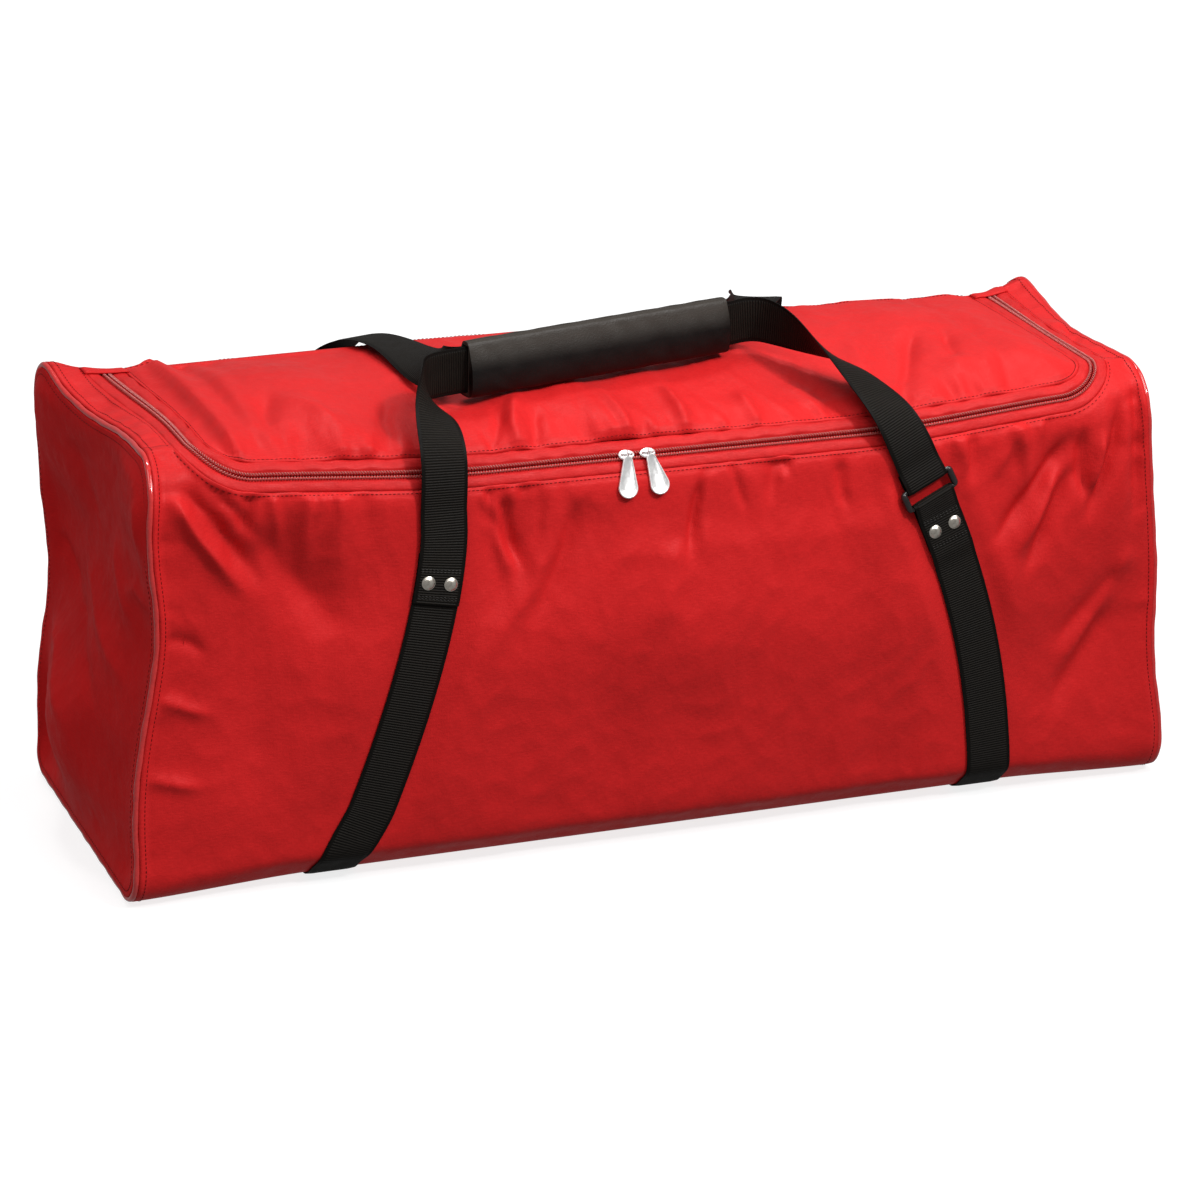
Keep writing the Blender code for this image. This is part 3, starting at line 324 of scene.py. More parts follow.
# Deep folds as (path of (x, s) points, half width, height).
FOLDS = [
    # From the left end's corner down the front, and the broad hollow beside them.
    ([(-0.4188, 0.3698), (-0.3913, 0.3231), (-0.3563, 0.2773), (-0.345, 0.26)], 0.0065, 0.0062),
    ([(-0.408, 0.374), (-0.374, 0.326), (-0.343, 0.286), (-0.33, 0.268)], 0.0075, -0.0058),
    ([(-0.376, 0.36), (-0.3686, 0.3495), (-0.3535, 0.3293), (-0.343, 0.315)], 0.0045, -0.0042),
    ([(-0.35, 0.335), (-0.322, 0.295), (-0.287, 0.2545), (-0.262, 0.23)], 0.02, -0.0075),
    ([(-0.4254, 0.198), (-0.398, 0.1858), (-0.37, 0.176)], 0.0055, 0.0034),
    ([(-0.4254, 0.133), (-0.3989, 0.125), (-0.374, 0.118)], 0.0055, 0.003),
    ([(-0.4254, 0.245), (-0.4, 0.238), (-0.38, 0.225)], 0.006, -0.003),
    # From the right end's corner down the front.
    ([(0.356, 0.342), (0.345, 0.3311), (0.3156, 0.2985), (0.2853, 0.2659), (0.265, 0.245)], 0.0075, -0.0072),
    ([(0.352, 0.316), (0.3289, 0.2703), (0.309, 0.2351), (0.297, 0.212)], 0.0065, -0.0062),
    ([(0.362, 0.346), (0.3582, 0.3029), (0.3648, 0.2835), (0.362, 0.255)], 0.006, -0.0062),
    ([(0.402, 0.366), (0.3932, 0.3249), (0.3752, 0.2879), (0.362, 0.255)], 0.0065, -0.0068),
    ([(0.3828, 0.343), (0.374, 0.312), (0.3648, 0.284), (0.352, 0.262)], 0.005, 0.005),
    ([(0.338, 0.318), (0.322, 0.287), (0.303, 0.255), (0.292, 0.235)], 0.006, 0.005),
    ([(0.4216, 0.384), (0.416, 0.33), (0.412, 0.28), (0.405, 0.24)], 0.007, -0.0056),
    ([(0.402, 0.226), (0.3923, 0.2131), (0.3535, 0.1717), (0.325, 0.145)], 0.01, -0.0056),
    ([(0.392, 0.19), (0.3771, 0.169), (0.3355, 0.1074), (0.32, 0.08)], 0.011, -0.0052),
    ([(0.408, 0.238), (0.382, 0.198), (0.35, 0.148), (0.33, 0.12)], 0.0095, 0.0048),
    ([(0.4254, 0.52), (0.412, 0.47), (0.42, 0.44)], 0.006, -0.0034),
    # Over the lid, from its front seam.
    ([(-0.1345, 0.378), (-0.128, 0.405), (-0.1103, 0.4446), (-0.104, 0.462)], 0.007, 0.0046),
    ([(-0.035, 0.374), (-0.036, 0.405), (-0.0374, 0.4349), (-0.043, 0.465)], 0.008, 0.0056),
    ([(0.013, 0.38), (0.016, 0.41), (0.0175, 0.4323), (0.021, 0.46)], 0.0065, 0.0044),
    ([(0.077, 0.376), (0.0771, 0.4059), (0.08, 0.44)], 0.0075, 0.005),
    ([(0.1975, 0.425), (0.2, 0.45), (0.2049, 0.4746), (0.211, 0.51)], 0.008, 0.004),
    ([(0.1825, 0.364), (0.1803, 0.3953), (0.178, 0.44)], 0.0075, 0.0046),
    ([(-0.152, 0.38), (-0.145, 0.395), (-0.1349, 0.4138), (-0.126, 0.44)], 0.0065, -0.0042),
    ([(-0.118, 0.37), (-0.112, 0.39), (-0.1074, 0.4076), (-0.098, 0.438)], 0.0065, -0.0044),
    ([(0.215, 0.405), (0.233, 0.438), (0.256, 0.476), (0.2797, 0.5203)], 0.0075, -0.0042),
    ([(0.207, 0.4), (0.225, 0.434), (0.245, 0.472)], 0.006, 0.0034),
    ([(0.277, 0.43), (0.287, 0.47), (0.296, 0.505)], 0.0065, -0.0038),
    ([(-0.262, 0.38), (-0.275, 0.43), (-0.3, 0.49)], 0.011, 0.0042),
    ([(-0.33, 0.4), (-0.318, 0.45), (-0.295, 0.51)], 0.012, -0.0046),
    ([(-0.232, 0.385), (-0.226, 0.43), (-0.205, 0.48)], 0.008, -0.004),
    # Below the zip's front seam.
    ([(0.02, 0.352), (0.0175, 0.3328), (0.0109, 0.3011), (0.004, 0.27)], 0.0045, -0.0048),
    ([(0.03, 0.354), (0.0279, 0.3434), (0.0222, 0.3099), (0.016, 0.27)], 0.0055, 0.0048),
    ([(-0.1485, 0.352), (-0.1472, 0.3416), (-0.1415, 0.3178), (-0.134, 0.285)], 0.0045, -0.0044),
    ([(-0.159, 0.352), (-0.155, 0.33), (-0.148, 0.3), (-0.14, 0.272)], 0.0055, 0.004),
    ([(-0.098, 0.35), (-0.108, 0.31), (-0.124, 0.268), (-0.155, 0.225), (-0.175, 0.2)], 0.011, 0.0044),
    ([(-0.082, 0.348), (-0.094, 0.3), (-0.112, 0.255), (-0.13, 0.23)], 0.008, -0.0044),
    ([(0.002, 0.3), (-0.008, 0.2765), (-0.0166, 0.2333), (-0.02, 0.2)], 0.013, 0.004),
    ([(-0.172, 0.35), (-0.152, 0.32), (-0.1339, 0.2905), (-0.122, 0.265)], 0.006, -0.0038),
    ([(0.094, 0.354), (0.09, 0.32), (0.084, 0.29)], 0.006, 0.0034),
    ([(0.14, 0.354), (0.142, 0.325), (0.15, 0.29)], 0.006, -0.0036),
    ([(0.262, 0.358), (0.258, 0.33), (0.25, 0.3)], 0.0055, -0.0034),
    ([(0.3, 0.36), (0.29, 0.335), (0.276, 0.31)], 0.0055, 0.0034),
]

# The back wall has the front's long folds too, given half a turn, and a little shallower.
WALL_FOLDS_END = 0.38       # folds that reach further than this are over the lid or on the shoulder
FOLDS += [
    ([(-x * 0.97 + 0.006, GIRTH_LENGTH - s * 0.98) for x, s in path], width, 0.75 * height)
    for path, width, height in FOLDS if max(s for _, s in path) < WALL_FOLDS_END
]

# Heights of the broad relief, in metres.
BROAD_WAVES = 0.0022
SMALL_WAVES = 0.0007
CRINKLES = 0.00022
BELLY = 0.0085              # of the stuffed walls, at BELLY_S along the girth from a base seam
BELLY_S = 0.212
LEFT_HOLLOW = 0.01          # of the slack left third
LID_PUFF = 0.0085           # of the lid outside the handles
SEAM_GROOVE = 0.0009        # of the cloth's turned edge beside the zip
FOLD_FACTOR = 1.35          # height of a fold in FOLDS is times this
FRONT_END_S = 0.5           # the front's hollow and the puckers under its zip reach no further

# Where the pulls hang and travel the cloth stays down: a range of x, and of s up to the zip.
PULL_X = (-0.17, 0.166)
PULL_LOWEST = S_ZIP - 0.052
PULL_DROP = 0.0018
PULL_CAP = 0.0002

# Under each handle's lead, at these x, the lid's cloth rises no further than HANDLE_CAP.
HANDLE_LEADS = (-0.182, 0.16)
HANDLE_CAP = 0.0012


def wall_shape(x, s):
    """Waves, crinkles and the stuffed belly, before any seam holds the cloth."""
    wall_s = np.minimum(s, GIRTH_LENGTH - s)
    height = BROAD_WAVES * waves(x, s, 9, 0.14, 0.3, 0.8, 21)
    height += SMALL_WAVES * waves(x, s, 16, 0.045, 0.1, 0.5, 22)
    height += CRINKLES * (1.2 - np.abs(waves(x, s, 22, 0.016, 0.04, 0.45, 23)) * 1.6)
    belly = BELLY * np.exp(-((wall_s - BELLY_S) / 0.06) ** 2)
    height += belly * (1 - 0.8 * smooth(0.26, 0.36, np.abs(x)))
    hollow = LEFT_HOLLOW * np.exp(-((wall_s - 0.2) / 0.13) ** 2)
    return height - hollow * smooth(-0.16, -0.36, x) * (s < FRONT_END_S)


def held_clear(x, s, to_zip, to_end):
    """0 where a seam, a strap or the floor holds the cloth on the skin, and 1 clear of them."""
    clear = smooth(0.0, 0.005, np.abs(to_zip) - ZIP_BAND) * smooth(0.0, 0.007, to_end)
    clear = clear * smooth(0.0, 0.008, np.abs(s - S_HINGE))
    clear = clear * (1 - near_strap(x, s, 0.02, 0.042))
    return clear * smooth(0.3 * S_FRONT_BASE, S_FRONT_BASE + 0.02, np.minimum(s, GIRTH_LENGTH - s))


def relief(x, s):
    """Height of the sculpted cloth over the CAD skin, level at seams, straps and the zip."""
    x, s = np.broadcast_arrays(np.asarray(x, float), np.asarray(s, float))
    to_zip = zip_distance(x, s)
    to_end = EDGE_X - np.abs(x)
    height = wall_shape(x, s)
    below = np.maximum(-to_zip - ZIP_BAND, 0)
    above = np.maximum(to_zip - ZIP_BAND, 0)
    height += puckers(x, below, *ZIP_LOWER_PUCKERS) * (to_zip < 0) * (s < FRONT_END_S)
    height += puckers(x, above, *ZIP_UPPER_PUCKERS) * (to_zip > 0)
    height += puckers(s, to_end, *END_PUCKERS) * (to_zip < 0)
    for path, width, amount in FOLDS:
        height += pleat(x, s, path, width, FOLD_FACTOR * amount)

    under_pulls = smooth(PULL_X[0] - 0.02, PULL_X[0], x) * (1 - smooth(PULL_X[1], PULL_X[1] + 0.02, x))
    under_pulls = under_pulls * smooth(PULL_LOWEST - 0.035, PULL_LOWEST, s) * (s < S_ZIP)
    height = height - PULL_DROP * under_pulls
    height = height - np.maximum(height - PULL_CAP, 0) * under_pulls

    over_lid = smooth(S_ZIP, S_ZIP + 0.02, s) * (s < S_HINGE)
    puffed = smooth(0.0, 0.05, to_zip - ZIP_BAND) * smooth(0.0, 0.09, S_HINGE - s)
    height = height + LID_PUFF * puffed * smooth(0.225, 0.275, np.abs(x + 0.004)) * over_lid
    to_lead = np.minimum(*(np.abs(x - lead_x) for lead_x in HANDLE_LEADS))
    under_lead = over_lid * (1 - smooth(0.03, 0.055, to_lead))
    height = height - np.maximum(height - HANDLE_CAP, 0) * under_lead

    groove = SEAM_GROOVE * np.exp(-((np.abs(to_zip) - ZIP_BAND - 0.0022) / 0.0012) ** 2) * (s < S_HINGE)
    return height * held_clear(x, s, to_zip, to_end) - groove * (1 - near_strap(x, s, 0.02, 0.024))


def end_sag(side, y, z):
    """How an end wanders: outwards, and up, at a place (y, z) on its edge or face."""
    rear = smooth(-0.06, 0.13, y)
    hollow = 0.006 * np.exp(-((z - 0.235) / 0.055) ** 2)
    left_out = 0.003 * np.sin(z * 30 - 1.2) - hollow * (1 - rear)
    left_out = left_out + rear * (0.011 * smooth(0.14, 0.28, z) + 0.011 * smooth(0.27, 0.37, z))
    right_out = 0.004 * np.sin(z * 30 + 1.2) - hollow + 0.01 * rear * smooth(0.22, 0.36, z)
    corner = np.exp(-((y - 0.128) / 0.034) ** 2) * smooth(0.25, 0.345, z)
    up = np.where(side < 0, 0.003, 0.01) * rear * smooth(0.24, 0.36, z)
    up = up + np.where(side < 0, 0.012, 0.006) * corner
    up = up - 0.007 * np.exp(-((y - 0.02) / 0.06) ** 2) * smooth(0.3, 0.36, z)
    return np.where(side < 0, left_out, right_out) * smooth(0.01, 0.06, z), up


def shift(x, s):
    """Whole-body sag that seams, piping and straps share."""
    x, s = np.broadcast_arrays(np.asarray(x, float), np.asarray(s, float))
    y, z = on_girth(s)
    share = np.abs(x) / TOP_HALF
    side = np.sign(x)
    out_by, up_by = end_sag(side, y, z)
    out = np.zeros(x.shape + (3,))
    out[..., 0] = side * out_by * smooth(0.78, 1.0, share)
    inward = 0.006 * smooth(0.0, 0.35, 1 - share) * np.exp(-((z - 0.01) / 0.014) ** 2)
    out[..., 1] = -np.sign(y) * inward
    out[..., 2] = inward * 0.7 + up_by * smooth(0.89, 1.0, share)
    return out


def surface(x, s, lift=0.0):
    """Point of the visible cloth, raised by lift along the skin's normal."""
    return skin(x, s) + shift(x, s) + normal(x, s) * (relief(x, s) + lift)[..., None]


# --- Meshes -------------------------------------------------------------------------------------
def put(name, data):
    """Object in the scene for a mesh, curve, light or camera."""
    placed = bpy.data.objects.new(name, data)
    bpy.context.scene.collection.objects.link(placed)
    return placed


def add_piece(name, vertices, faces, uv, finish, sharp=None):
    """Mesh object with one UV, in metres, for each vertex."""
    mesh = bpy.data.meshes.new(name)
    mesh.from_pydata(np.asarray(vertices, float).reshape(-1, 3).tolist(), [], [tuple(f) for f in faces])
    layer = mesh.uv_layers.new(name="UVMap")
    corners = np.array([i for f in faces for i in f])
    layer.data.foreach_set("uv", np.asarray(uv, float).reshape(-1, 2)[corners].astype(np.float32).reshape(-1))
    mesh.shade_smooth()
    if sharp is not None:
        mesh.set_sharp_from_angle(angle=math.radians(sharp))
    mesh.materials.append(finish)
    return put(name, mesh)


def face_out(piece):
    """Turn every face of a closed mesh outwards."""
    made = bmesh.new()
    made.from_mesh(piece.data)
    bmesh.ops.recalc_face_normals(made, faces=made.faces)
    made.to_mesh(piece.data)
    made.free()
    return piece


def quads(columns, rows, closed=False):
    """Faces over a (columns, rows) grid of vertices. closed joins the last column to the first."""
    index = np.arange(columns * rows).reshape(columns, rows)
    if closed:
        index = np.concatenate([index, index[:1]])
    return np.stack(
        [index[:-1, :-1], index[1:, :-1], index[1:, 1:], index[:-1, 1:]], axis=-1
    ).reshape(-1, 4).tolist()


def tube(index):
    """Faces of a tube over a (rings, sides) grid of vertex numbers."""
    ahead = np.roll(index, -1, axis=1)
    faces = np.stack([index[:-1], index[1:], ahead[1:], ahead[:-1]], axis=-1)
    return faces.transpose(1, 0, 2).reshape(-1, 4).tolist()


def capped(index):
    """Faces of a tube and of its two end sections, wound the other way round from tube's."""
    walls = [[a, d, c, b] for a, b, c, d in tube(index)]
    return [index[0][::-1].tolist(), index[-1].tolist()] + walls


def pairs(columns, rows):
    """(column, row) value pairs over a grid."""
    return np.stack(np.broadcast_arrays(columns[:, None], rows[None, :]), axis=-1)


def thicken(piece, thickness=FABRIC):
    """Give cloth its thickness on its inner side."""
    solid = piece.modifiers.new("thickness", "SOLIDIFY")
    solid.thickness = thickness
    solid.offset = -1
    return piece


def finished(piece, body, slot_name, *nodes):
    """Put a piece on its body, in place of its CAD nodes, which it hides. body is None for a blended piece.
    slot_name is not used.
    """
    if nodes:
        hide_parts(*nodes)
    if body:
        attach(piece, body)
    return piece


def cloth_piece(name, x, s):
    """Cloth over a grid of the skin's own measures, x along the columns and s along the rows."""
    x, s = np.broadcast_arrays(x, s)
    return thicken(add_piece(name, surface(x, s), quads(*x.shape), np.stack([x, s], axis=-1), CLOTH))


def swept(name, path, radius, finish, reference, sides, closed=False):
    """Tube along a path. radius is one number or one for each point."""
    path = np.asarray(path, float)
    count = len(path)
    if closed:
        ahead = unit(np.roll(path, -1, axis=0) - np.roll(path, 1, axis=0))
    else:
        ahead = unit(np.gradient(path, axis=0))
    first = unit(np.cross(np.asarray(reference, float), ahead))
    second = np.cross(ahead, first)
    radius = np.broadcast_to(np.asarray(radius, float), (count,))[:, None, None]
    angle = np.linspace(0, 2 * math.pi, sides, endpoint=False)
    section = first[:, None] * np.cos(angle)[None, :, None] + second[:, None] * np.sin(angle)[None, :, None]
    vertices = path[:, None] + section * radius
    uv = pairs(run_along(path), angle / (2 * math.pi) * 0.01)
    index = np.arange(count * sides).reshape(count, sides)
    faces = tube(np.concatenate([index, index[:1]]) if closed else index)
    if not closed:
        faces += [index[0].tolist(), index[-1][::-1].tolist()]
    return face_out(add_piece(name, vertices, faces, uv, finish))


def turned(name, profile, frame, finish):
    """Solid of revolution about a frame's Z from (radius, height) points that start and end on the axis."""
    segments = 32
    angle = np.linspace(0, 2 * math.pi, segments, endpoint=False)
    rings = np.array(profile[1:-1], float)
    around = np.stack([
        rings[:, 0, None] * np.cos(angle), rings[:, 0, None] * np.sin(angle),
        np.broadcast_to(rings[:, 1, None], (len(rings), segments)),
    ], axis=-1).reshape(-1, 3)
    points = np.concatenate([[[0, 0, profile[0][1]]], around, [[0, 0, profile[-1][1]]]])
    matrix = np.array(frame)
    world = points @ matrix[:3, :3].T + matrix[:3, 3]
    index = 1 + np.arange(len(rings) * segments).reshape(len(rings), segments)
    faces = tube(index)
    for k in range(segments):
        n = (k + 1) % segments
        faces += [[0, index[0, k], index[0, n]], [len(points) - 1, index[-1, n], index[-1, k]]]
    return face_out(add_piece(name, world, faces, points[:, :2], finish, sharp=50))


# --- Materials ----------------------------------------------------------------------------------
class Finish:
    """A Principled material whose colour, roughness and bump come from nodes over the UVs, in metres."""

    def __init__(self, name, **sockets):
        self.material = bpy.data.materials.new(name)
        self.material.use_nodes = True
        self.tree = self.material.node_tree
        self.shader = self.tree.nodes["Principled BSDF"]
        for socket, value in sockets.items():
            self.shader.inputs[socket.replace("_", " ")].default_value = value
        self.uv = self.tree.nodes.new("ShaderNodeTexCoord").outputs["UV"]

    def set(self, socket, value):
        """Link a socket to another, or give it a value."""
        if isinstance(value, bpy.types.NodeSocket):
            self.tree.links.new(value, socket)
        else:
            socket.default_value = value

    def node(self, kind, *inputs, **settings):
        """Node with its first inputs set or linked, and its settings, where capitals name an input."""
        made = self.tree.nodes.new(kind)
        for key, value in settings.items():
            if key[0].isupper():
                self.set(made.inputs[key], value)
            else:
                setattr(made, key, value)
        for socket, value in zip(made.inputs, inputs):
            self.set(socket, value)
        return made

    def scaled(self, x, y):
        """UVs stretched by x and y."""
        return self.node("ShaderNodeMapping", self.uv, Scale=(x, y, 1)).outputs[0]

    def noise(self, x, y, detail=3.0, roughness=0.5):
        """Noise whose blobs are about 1/x by 1/y metres."""
        made = self.node("ShaderNodeTexNoise", self.scaled(x, y), Scale=1.0, Detail=detail,
                         Roughness=roughness)
        return made.outputs["Fac"]

    def ribs(self, direction, pitch, distortion=0.0):
        """Ribs side by side along X or Y, one each pitch."""
        made = self.node("ShaderNodeTexWave", self.uv, wave_type="BANDS", bands_direction=direction,
                         Scale=2 * math.pi / 20 / pitch, Distortion=distortion)
        return made.outputs["Fac"]

    def math(self, operation, a, b):
        return self.node("ShaderNodeMath", a, b, operation=operation).outputs[0]

    def span(self, value, low, high, new_low=0.0, new_high=1.0):
        """A value's range, low to high, moved to a new one and clamped."""
        return self.node("ShaderNodeMapRange", value, low, high, new_low, new_high).outputs[0]

    def mix(self, share, a, b):
        """Colour between a and b. share, a and b may each be a number, a colour or a socket."""
        made = self.node("ShaderNodeMix", data_type="RGBA")
        for socket, value in (("Factor_Float", share), ("A_Color", a), ("B_Color", b)):
            self.set(next(i for i in made.inputs if i.identifier == socket), value)
        return next(o for o in made.outputs if o.identifier == "Result_Color")

    def colour(self, value):
        self.set(self.shader.inputs["Base Color"], value)

    def roughness(self, value):
        self.set(self.shader.inputs["Roughness"], value)

    def bump(self, *heights):
        """Bumps in order, as (height, distance, strength)."""
        target = self.shader.inputs["Normal"]
        for height, distance, strength in reversed(heights):
            made = self.node("ShaderNodeBump", Strength=strength, Distance=distance, Height=height)
            self.set(target, made.outputs[0])
            target = made.inputs["Normal"]


def nylon(name, dark, middle, light, specular=0.18):
    """Coated nylon: slubby plain weave under a satin coating that crinkles."""
    made = Finish(name, Specular_IOR_Level=specular, Specular_Tint=(1.0, 0.55, 0.55, 1.0))
    tone = made.noise(14, 14, 4.0, 0.55)
    slub = made.noise(150, 900, 3.0, 0.6)
    cross_slub = made.noise(900, 170, 3.0, 0.6)
    mottle = made.noise(420, 420, 4.0, 0.7)
    base = made.mix(made.span(tone, 0.2, 0.6), dark, middle)
    base = made.mix(made.span(slub, 0.42, 0.75, 0.0, 0.55), base, light)
    base = made.mix(made.span(cross_slub, 0.55, 0.8, 0.0, 0.35), base, dark)
    base = made.mix(made.span(mottle, 0.35, 0.7, 0.22, 0.0), base, dark)
    made.colour(base)
    made.roughness(made.span(made.noise(60, 60, 4.0, 0.6), 0.3, 0.7, 0.4, 0.56))
    weave = made.math("MULTIPLY", made.ribs("X", 0.0011), made.ribs("Y", 0.0011))
    crinkle = made.noise(130, 80, 5.0, 0.62)
    made.bump((weave, 0.0002, 0.3), (crinkle, 0.0016, 0.42), (slub, 0.0003, 0.35))
    return made.material


def webbing(name, dark, light, roughness):
    """Woven strap with crosswise ribs between two smooth selvedges. UV x runs along it and y across."""
    made = Finish(name, Specular_IOR_Level=0.1)
    across = made.node("ShaderNodeSeparateXYZ", made.uv).outputs["Y"]
    from_middle = made.math("ABSOLUTE", across, 0.0)
    inside = made.span(from_middle, 0.0155, 0.0168, 1.0, 0.0)
    ribs = made.math("MULTIPLY", made.ribs("X", 0.0021, 0.35), inside)
    threads = made.ribs("Y", 0.0009, 0.4)
    wear_and_lit_top = made.noise(40, 60, 4.0, 0.6)
    # Colour follows the ribs: their crests are painted lighter and the hollows between them darker, a painted
    # highlight and painted shade, varied by random wear. The smooth selvedges keep the dark colour.
    body = made.mix(made.math("MULTIPLY", ribs, made.span(wear_and_lit_top, 0.3, 0.7, 0.55, 1.0)), dark, light)
    body = made.mix(made.span(made.noise(500, 900, 2.0, 0.6), 0.4, 0.8, 0.0, 0.4), body, light)
    made.colour(body)
    made.roughness(made.span(wear_and_lit_top, 0.3, 0.7, roughness, roughness + 0.14))
    made.bump((ribs, 0.0007, 0.75), (threads, 0.0002, 0.35), (made.noise(90, 90, 4.0), 0.0008, 0.25))
    return made.material


def vinyl(name, dark, light, wear_and_lit_top, roughness):
    """Satin coated fabric with a fine pebble, random rubbed patches and a painted highlight on the top of its
    section. UV y runs up the section.
    """
    made = Finish(name, Specular_IOR_Level=0.2)
    pebble = made.node("ShaderNodeTexVoronoi", made.scaled(1100, 1100), feature="SMOOTH_F1", Scale=1.0,
                       Smoothness=0.6)
    rubbed = made.noise(45, 70, 5.0, 0.6)
    upward = made.node("ShaderNodeSeparateXYZ", made.uv).outputs["Y"]
    face = made.mix(made.span(rubbed, 0.35, 0.75, 0.0, 0.5), dark, light)
    # The top of the section, from 32 to 48 mm up its UV, blends to a lighter colour: painted light from
    # above.
    made.colour(made.mix(made.span(upward, 0.032, 0.048), face, wear_and_lit_top))
    made.roughness(made.span(rubbed, 0.3, 0.7, roughness, roughness + 0.16))
    made.bump((pebble.outputs["Distance"], 0.0003, 0.4), (made.noise(120, 60, 5.0, 0.6), 0.0012, 0.35))
    return made.material


def gloss(name, dark, light, low, high, grain=(260, 260), **sockets):
    """Moulded or polished surface with slight scuffs."""
    made = Finish(name, **sockets)
    scuffs = made.noise(*grain, 5.0, 0.65)
    made.colour(made.mix(made.span(scuffs, 0.35, 0.7), dark, light))
    made.roughness(made.span(scuffs, 0.35, 0.7, low, high))
    made.bump((scuffs, 0.0002, 0.2))
    return made.material


def red(value):
    """A red of the bag's cloth at a brightness."""
    return (0.6 * value, 0.015 * value, 0.016 * value, 1.0)


CLOTH = nylon("coated_nylon", red(0.8), red(0.95), (0.7, 0.022, 0.022, 1.0))
END_CLOTH = nylon("coated_nylon_ends", red(0.84), red(1.0), (0.72, 0.02, 0.02, 1.0), specular=0.02)
TAPE = nylon("zip_tape", red(0.66), red(0.9), (0.66, 0.028, 0.028, 1.0))
COIL = gloss("zip_coil", (0.34, 0.035, 0.035, 1), (0.58, 0.16, 0.14, 1), 0.26, 0.42, (500, 90),
             Specular_IOR_Level=0.5)
PIPING = gloss("glossy_piping", (0.5, 0.016, 0.016, 1), (0.66, 0.03, 0.028, 1), 0.1, 0.24,
               Specular_IOR_Level=0.6, Coat_Weight=0.5, Coat_Roughness=0.08)
# Red thread painted near black: painted shade of the grooves along the seams.
SHADE_DARKENED_THREAD = gloss("red_thread_darkened_as_shade", (0.07, 0.003, 0.003, 1), (0.13, 0.006, 0.006, 1), 0.6, 0.8, (3000, 3000),
               Specular_IOR_Level=0.1)
BLACK_THREAD = gloss("black_thread", (0.01, 0.009, 0.008, 1), (0.03, 0.026, 0.022, 1), 0.5, 0.7,
                     (3000, 3000))
RIBBED = webbing("ribbed_webbing", (0.0022, 0.0018, 0.0014, 1), (0.016, 0.0125, 0.0095, 1), 0.5)
# The third colour is the painted highlight on the wrap's top.
SLEEVE = vinyl("wrap_vinyl", (0.0035, 0.0028, 0.0024, 1), (0.009, 0.0075, 0.0065, 1),
               (0.034, 0.028, 0.023, 1), 0.38)
PLASTIC = gloss("black_plastic", (0.01, 0.008, 0.008, 1), (0.022, 0.017, 0.017, 1), 0.14, 0.3)
METAL = gloss("bright_metal", (0.9, 0.89, 0.88, 1), (0.98, 0.975, 0.97, 1), 0.34, 0.5, Metallic=0.75)
RIVET_METAL = gloss("warm_silver", (0.55, 0.5, 0.43, 1), (0.8, 0.75, 0.67, 1), 0.24, 0.42, Metallic=1.0)


# --- Cloth panels -------------------------------------------------------------------------------
STEP = 0.0026               # spacing of the cloth's vertices on the front, the lid and the strips
BACK_STEPS = (0.0036, 0.0032)
TUCK = 0.0014               # how far a cloth's edge runs into the piping
ZIP_INNER = ZIP_SIDE - ZIP_CORNER
ZIP_OUTER_EDGE = ZIP_SIDE + ZIP_BAND
CLOTH_EDGE = EDGE_X + TUCK
CORNER_TOP = S_ZIP + ZIP_CORNER


def evenly(low, high, step):
    """Numbers from low to high, about a step apart."""
    return np.linspace(low, high, max(2, int(round(abs(high - low) / step)) + 1))


def front_cloth():
    """From the base seam up to the zip's lower seam, and beyond its corners to both ends."""
    radius = ZIP_CORNER + ZIP_BAND
    turn = np.linspace(0, math.pi / 2, 26)[1:]
    side = np.concatenate([
        ZIP_INNER + radius * np.sin(turn), evenly(ZIP_OUTER_EDGE, CLOTH_EDGE, STEP)[1:]
    ])
    top = np.concatenate([CORNER_TOP - radius * np.cos(turn), np.full(len(side) - len(turn), CORNER_TOP)])
    middle = evenly(-ZIP_INNER, ZIP_INNER, STEP)
    x = np.concatenate([-side[::-1], middle, side])
    tops = np.concatenate([top[::-1], np.full(len(middle), S_ZIP - ZIP_BAND), top])
    share = np.linspace(0, 1, int(S_ZIP / STEP))
    piece = cloth_piece("front_cloth", x[:, None], share[None, :] * tops[:, None])
    finished(piece, "bag_body", "red_cloth", "front_panel", "left_top_strip", "right_top_strip")
    return piece


def top_strip(name, side):
    """Body cloth between the zip's straight side and an end."""
    x = side * evenly(ZIP_OUTER_EDGE, CLOTH_EDGE, STEP)
    s = evenly(CORNER_TOP, S_HINGE, STEP)
    piece = cloth_piece(name, np.sort(x)[:, None], s[None, :])
    finished(piece, "bag_body", "red_cloth")
    return piece


def back_cloth():
    """From the base seam up and over to the lid's seam."""
    x = evenly(-CLOTH_EDGE, CLOTH_EDGE, BACK_STEPS[0])
    s = evenly(S_HINGE, GIRTH_LENGTH, BACK_STEPS[1])
    piece = cloth_piece("back_cloth", x[:, None], s[None, :])
    finished(piece, "bag_body", "red_cloth", "back_panel")
    return piece


def lid_cloth():
    """Inside the zip's U, baked in place and put on no body."""
    radius = ZIP_CORNER - ZIP_BAND
    turn = np.linspace(0, math.pi / 2, 15)[1:]
    side = ZIP_INNER + radius * np.sin(turn)
    first = S_ZIP + ZIP_BAND + radius * (1 - np.cos(turn))
    middle = evenly(-ZIP_INNER, ZIP_INNER, STEP)
    x = np.concatenate([-side[::-1], middle, side])
    start = np.concatenate([first[::-1], np.full(len(middle), S_ZIP + ZIP_BAND), first])
    share = np.linspace(0, 1, int((S_HINGE - S_ZIP) / STEP))
    s = start[:, None] + share[None, :] * (S_HINGE - GAP - start[:, None])
    piece = cloth_piece("lid_cloth", x[:, None], s)
    finished(piece, None, "red_cloth", "lid_panel")
    hinge = Vector(skin(0.0, S_HINGE))
    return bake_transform(piece)


BASE_WIDTH = 0.244          # of the flat base, from seam to seam


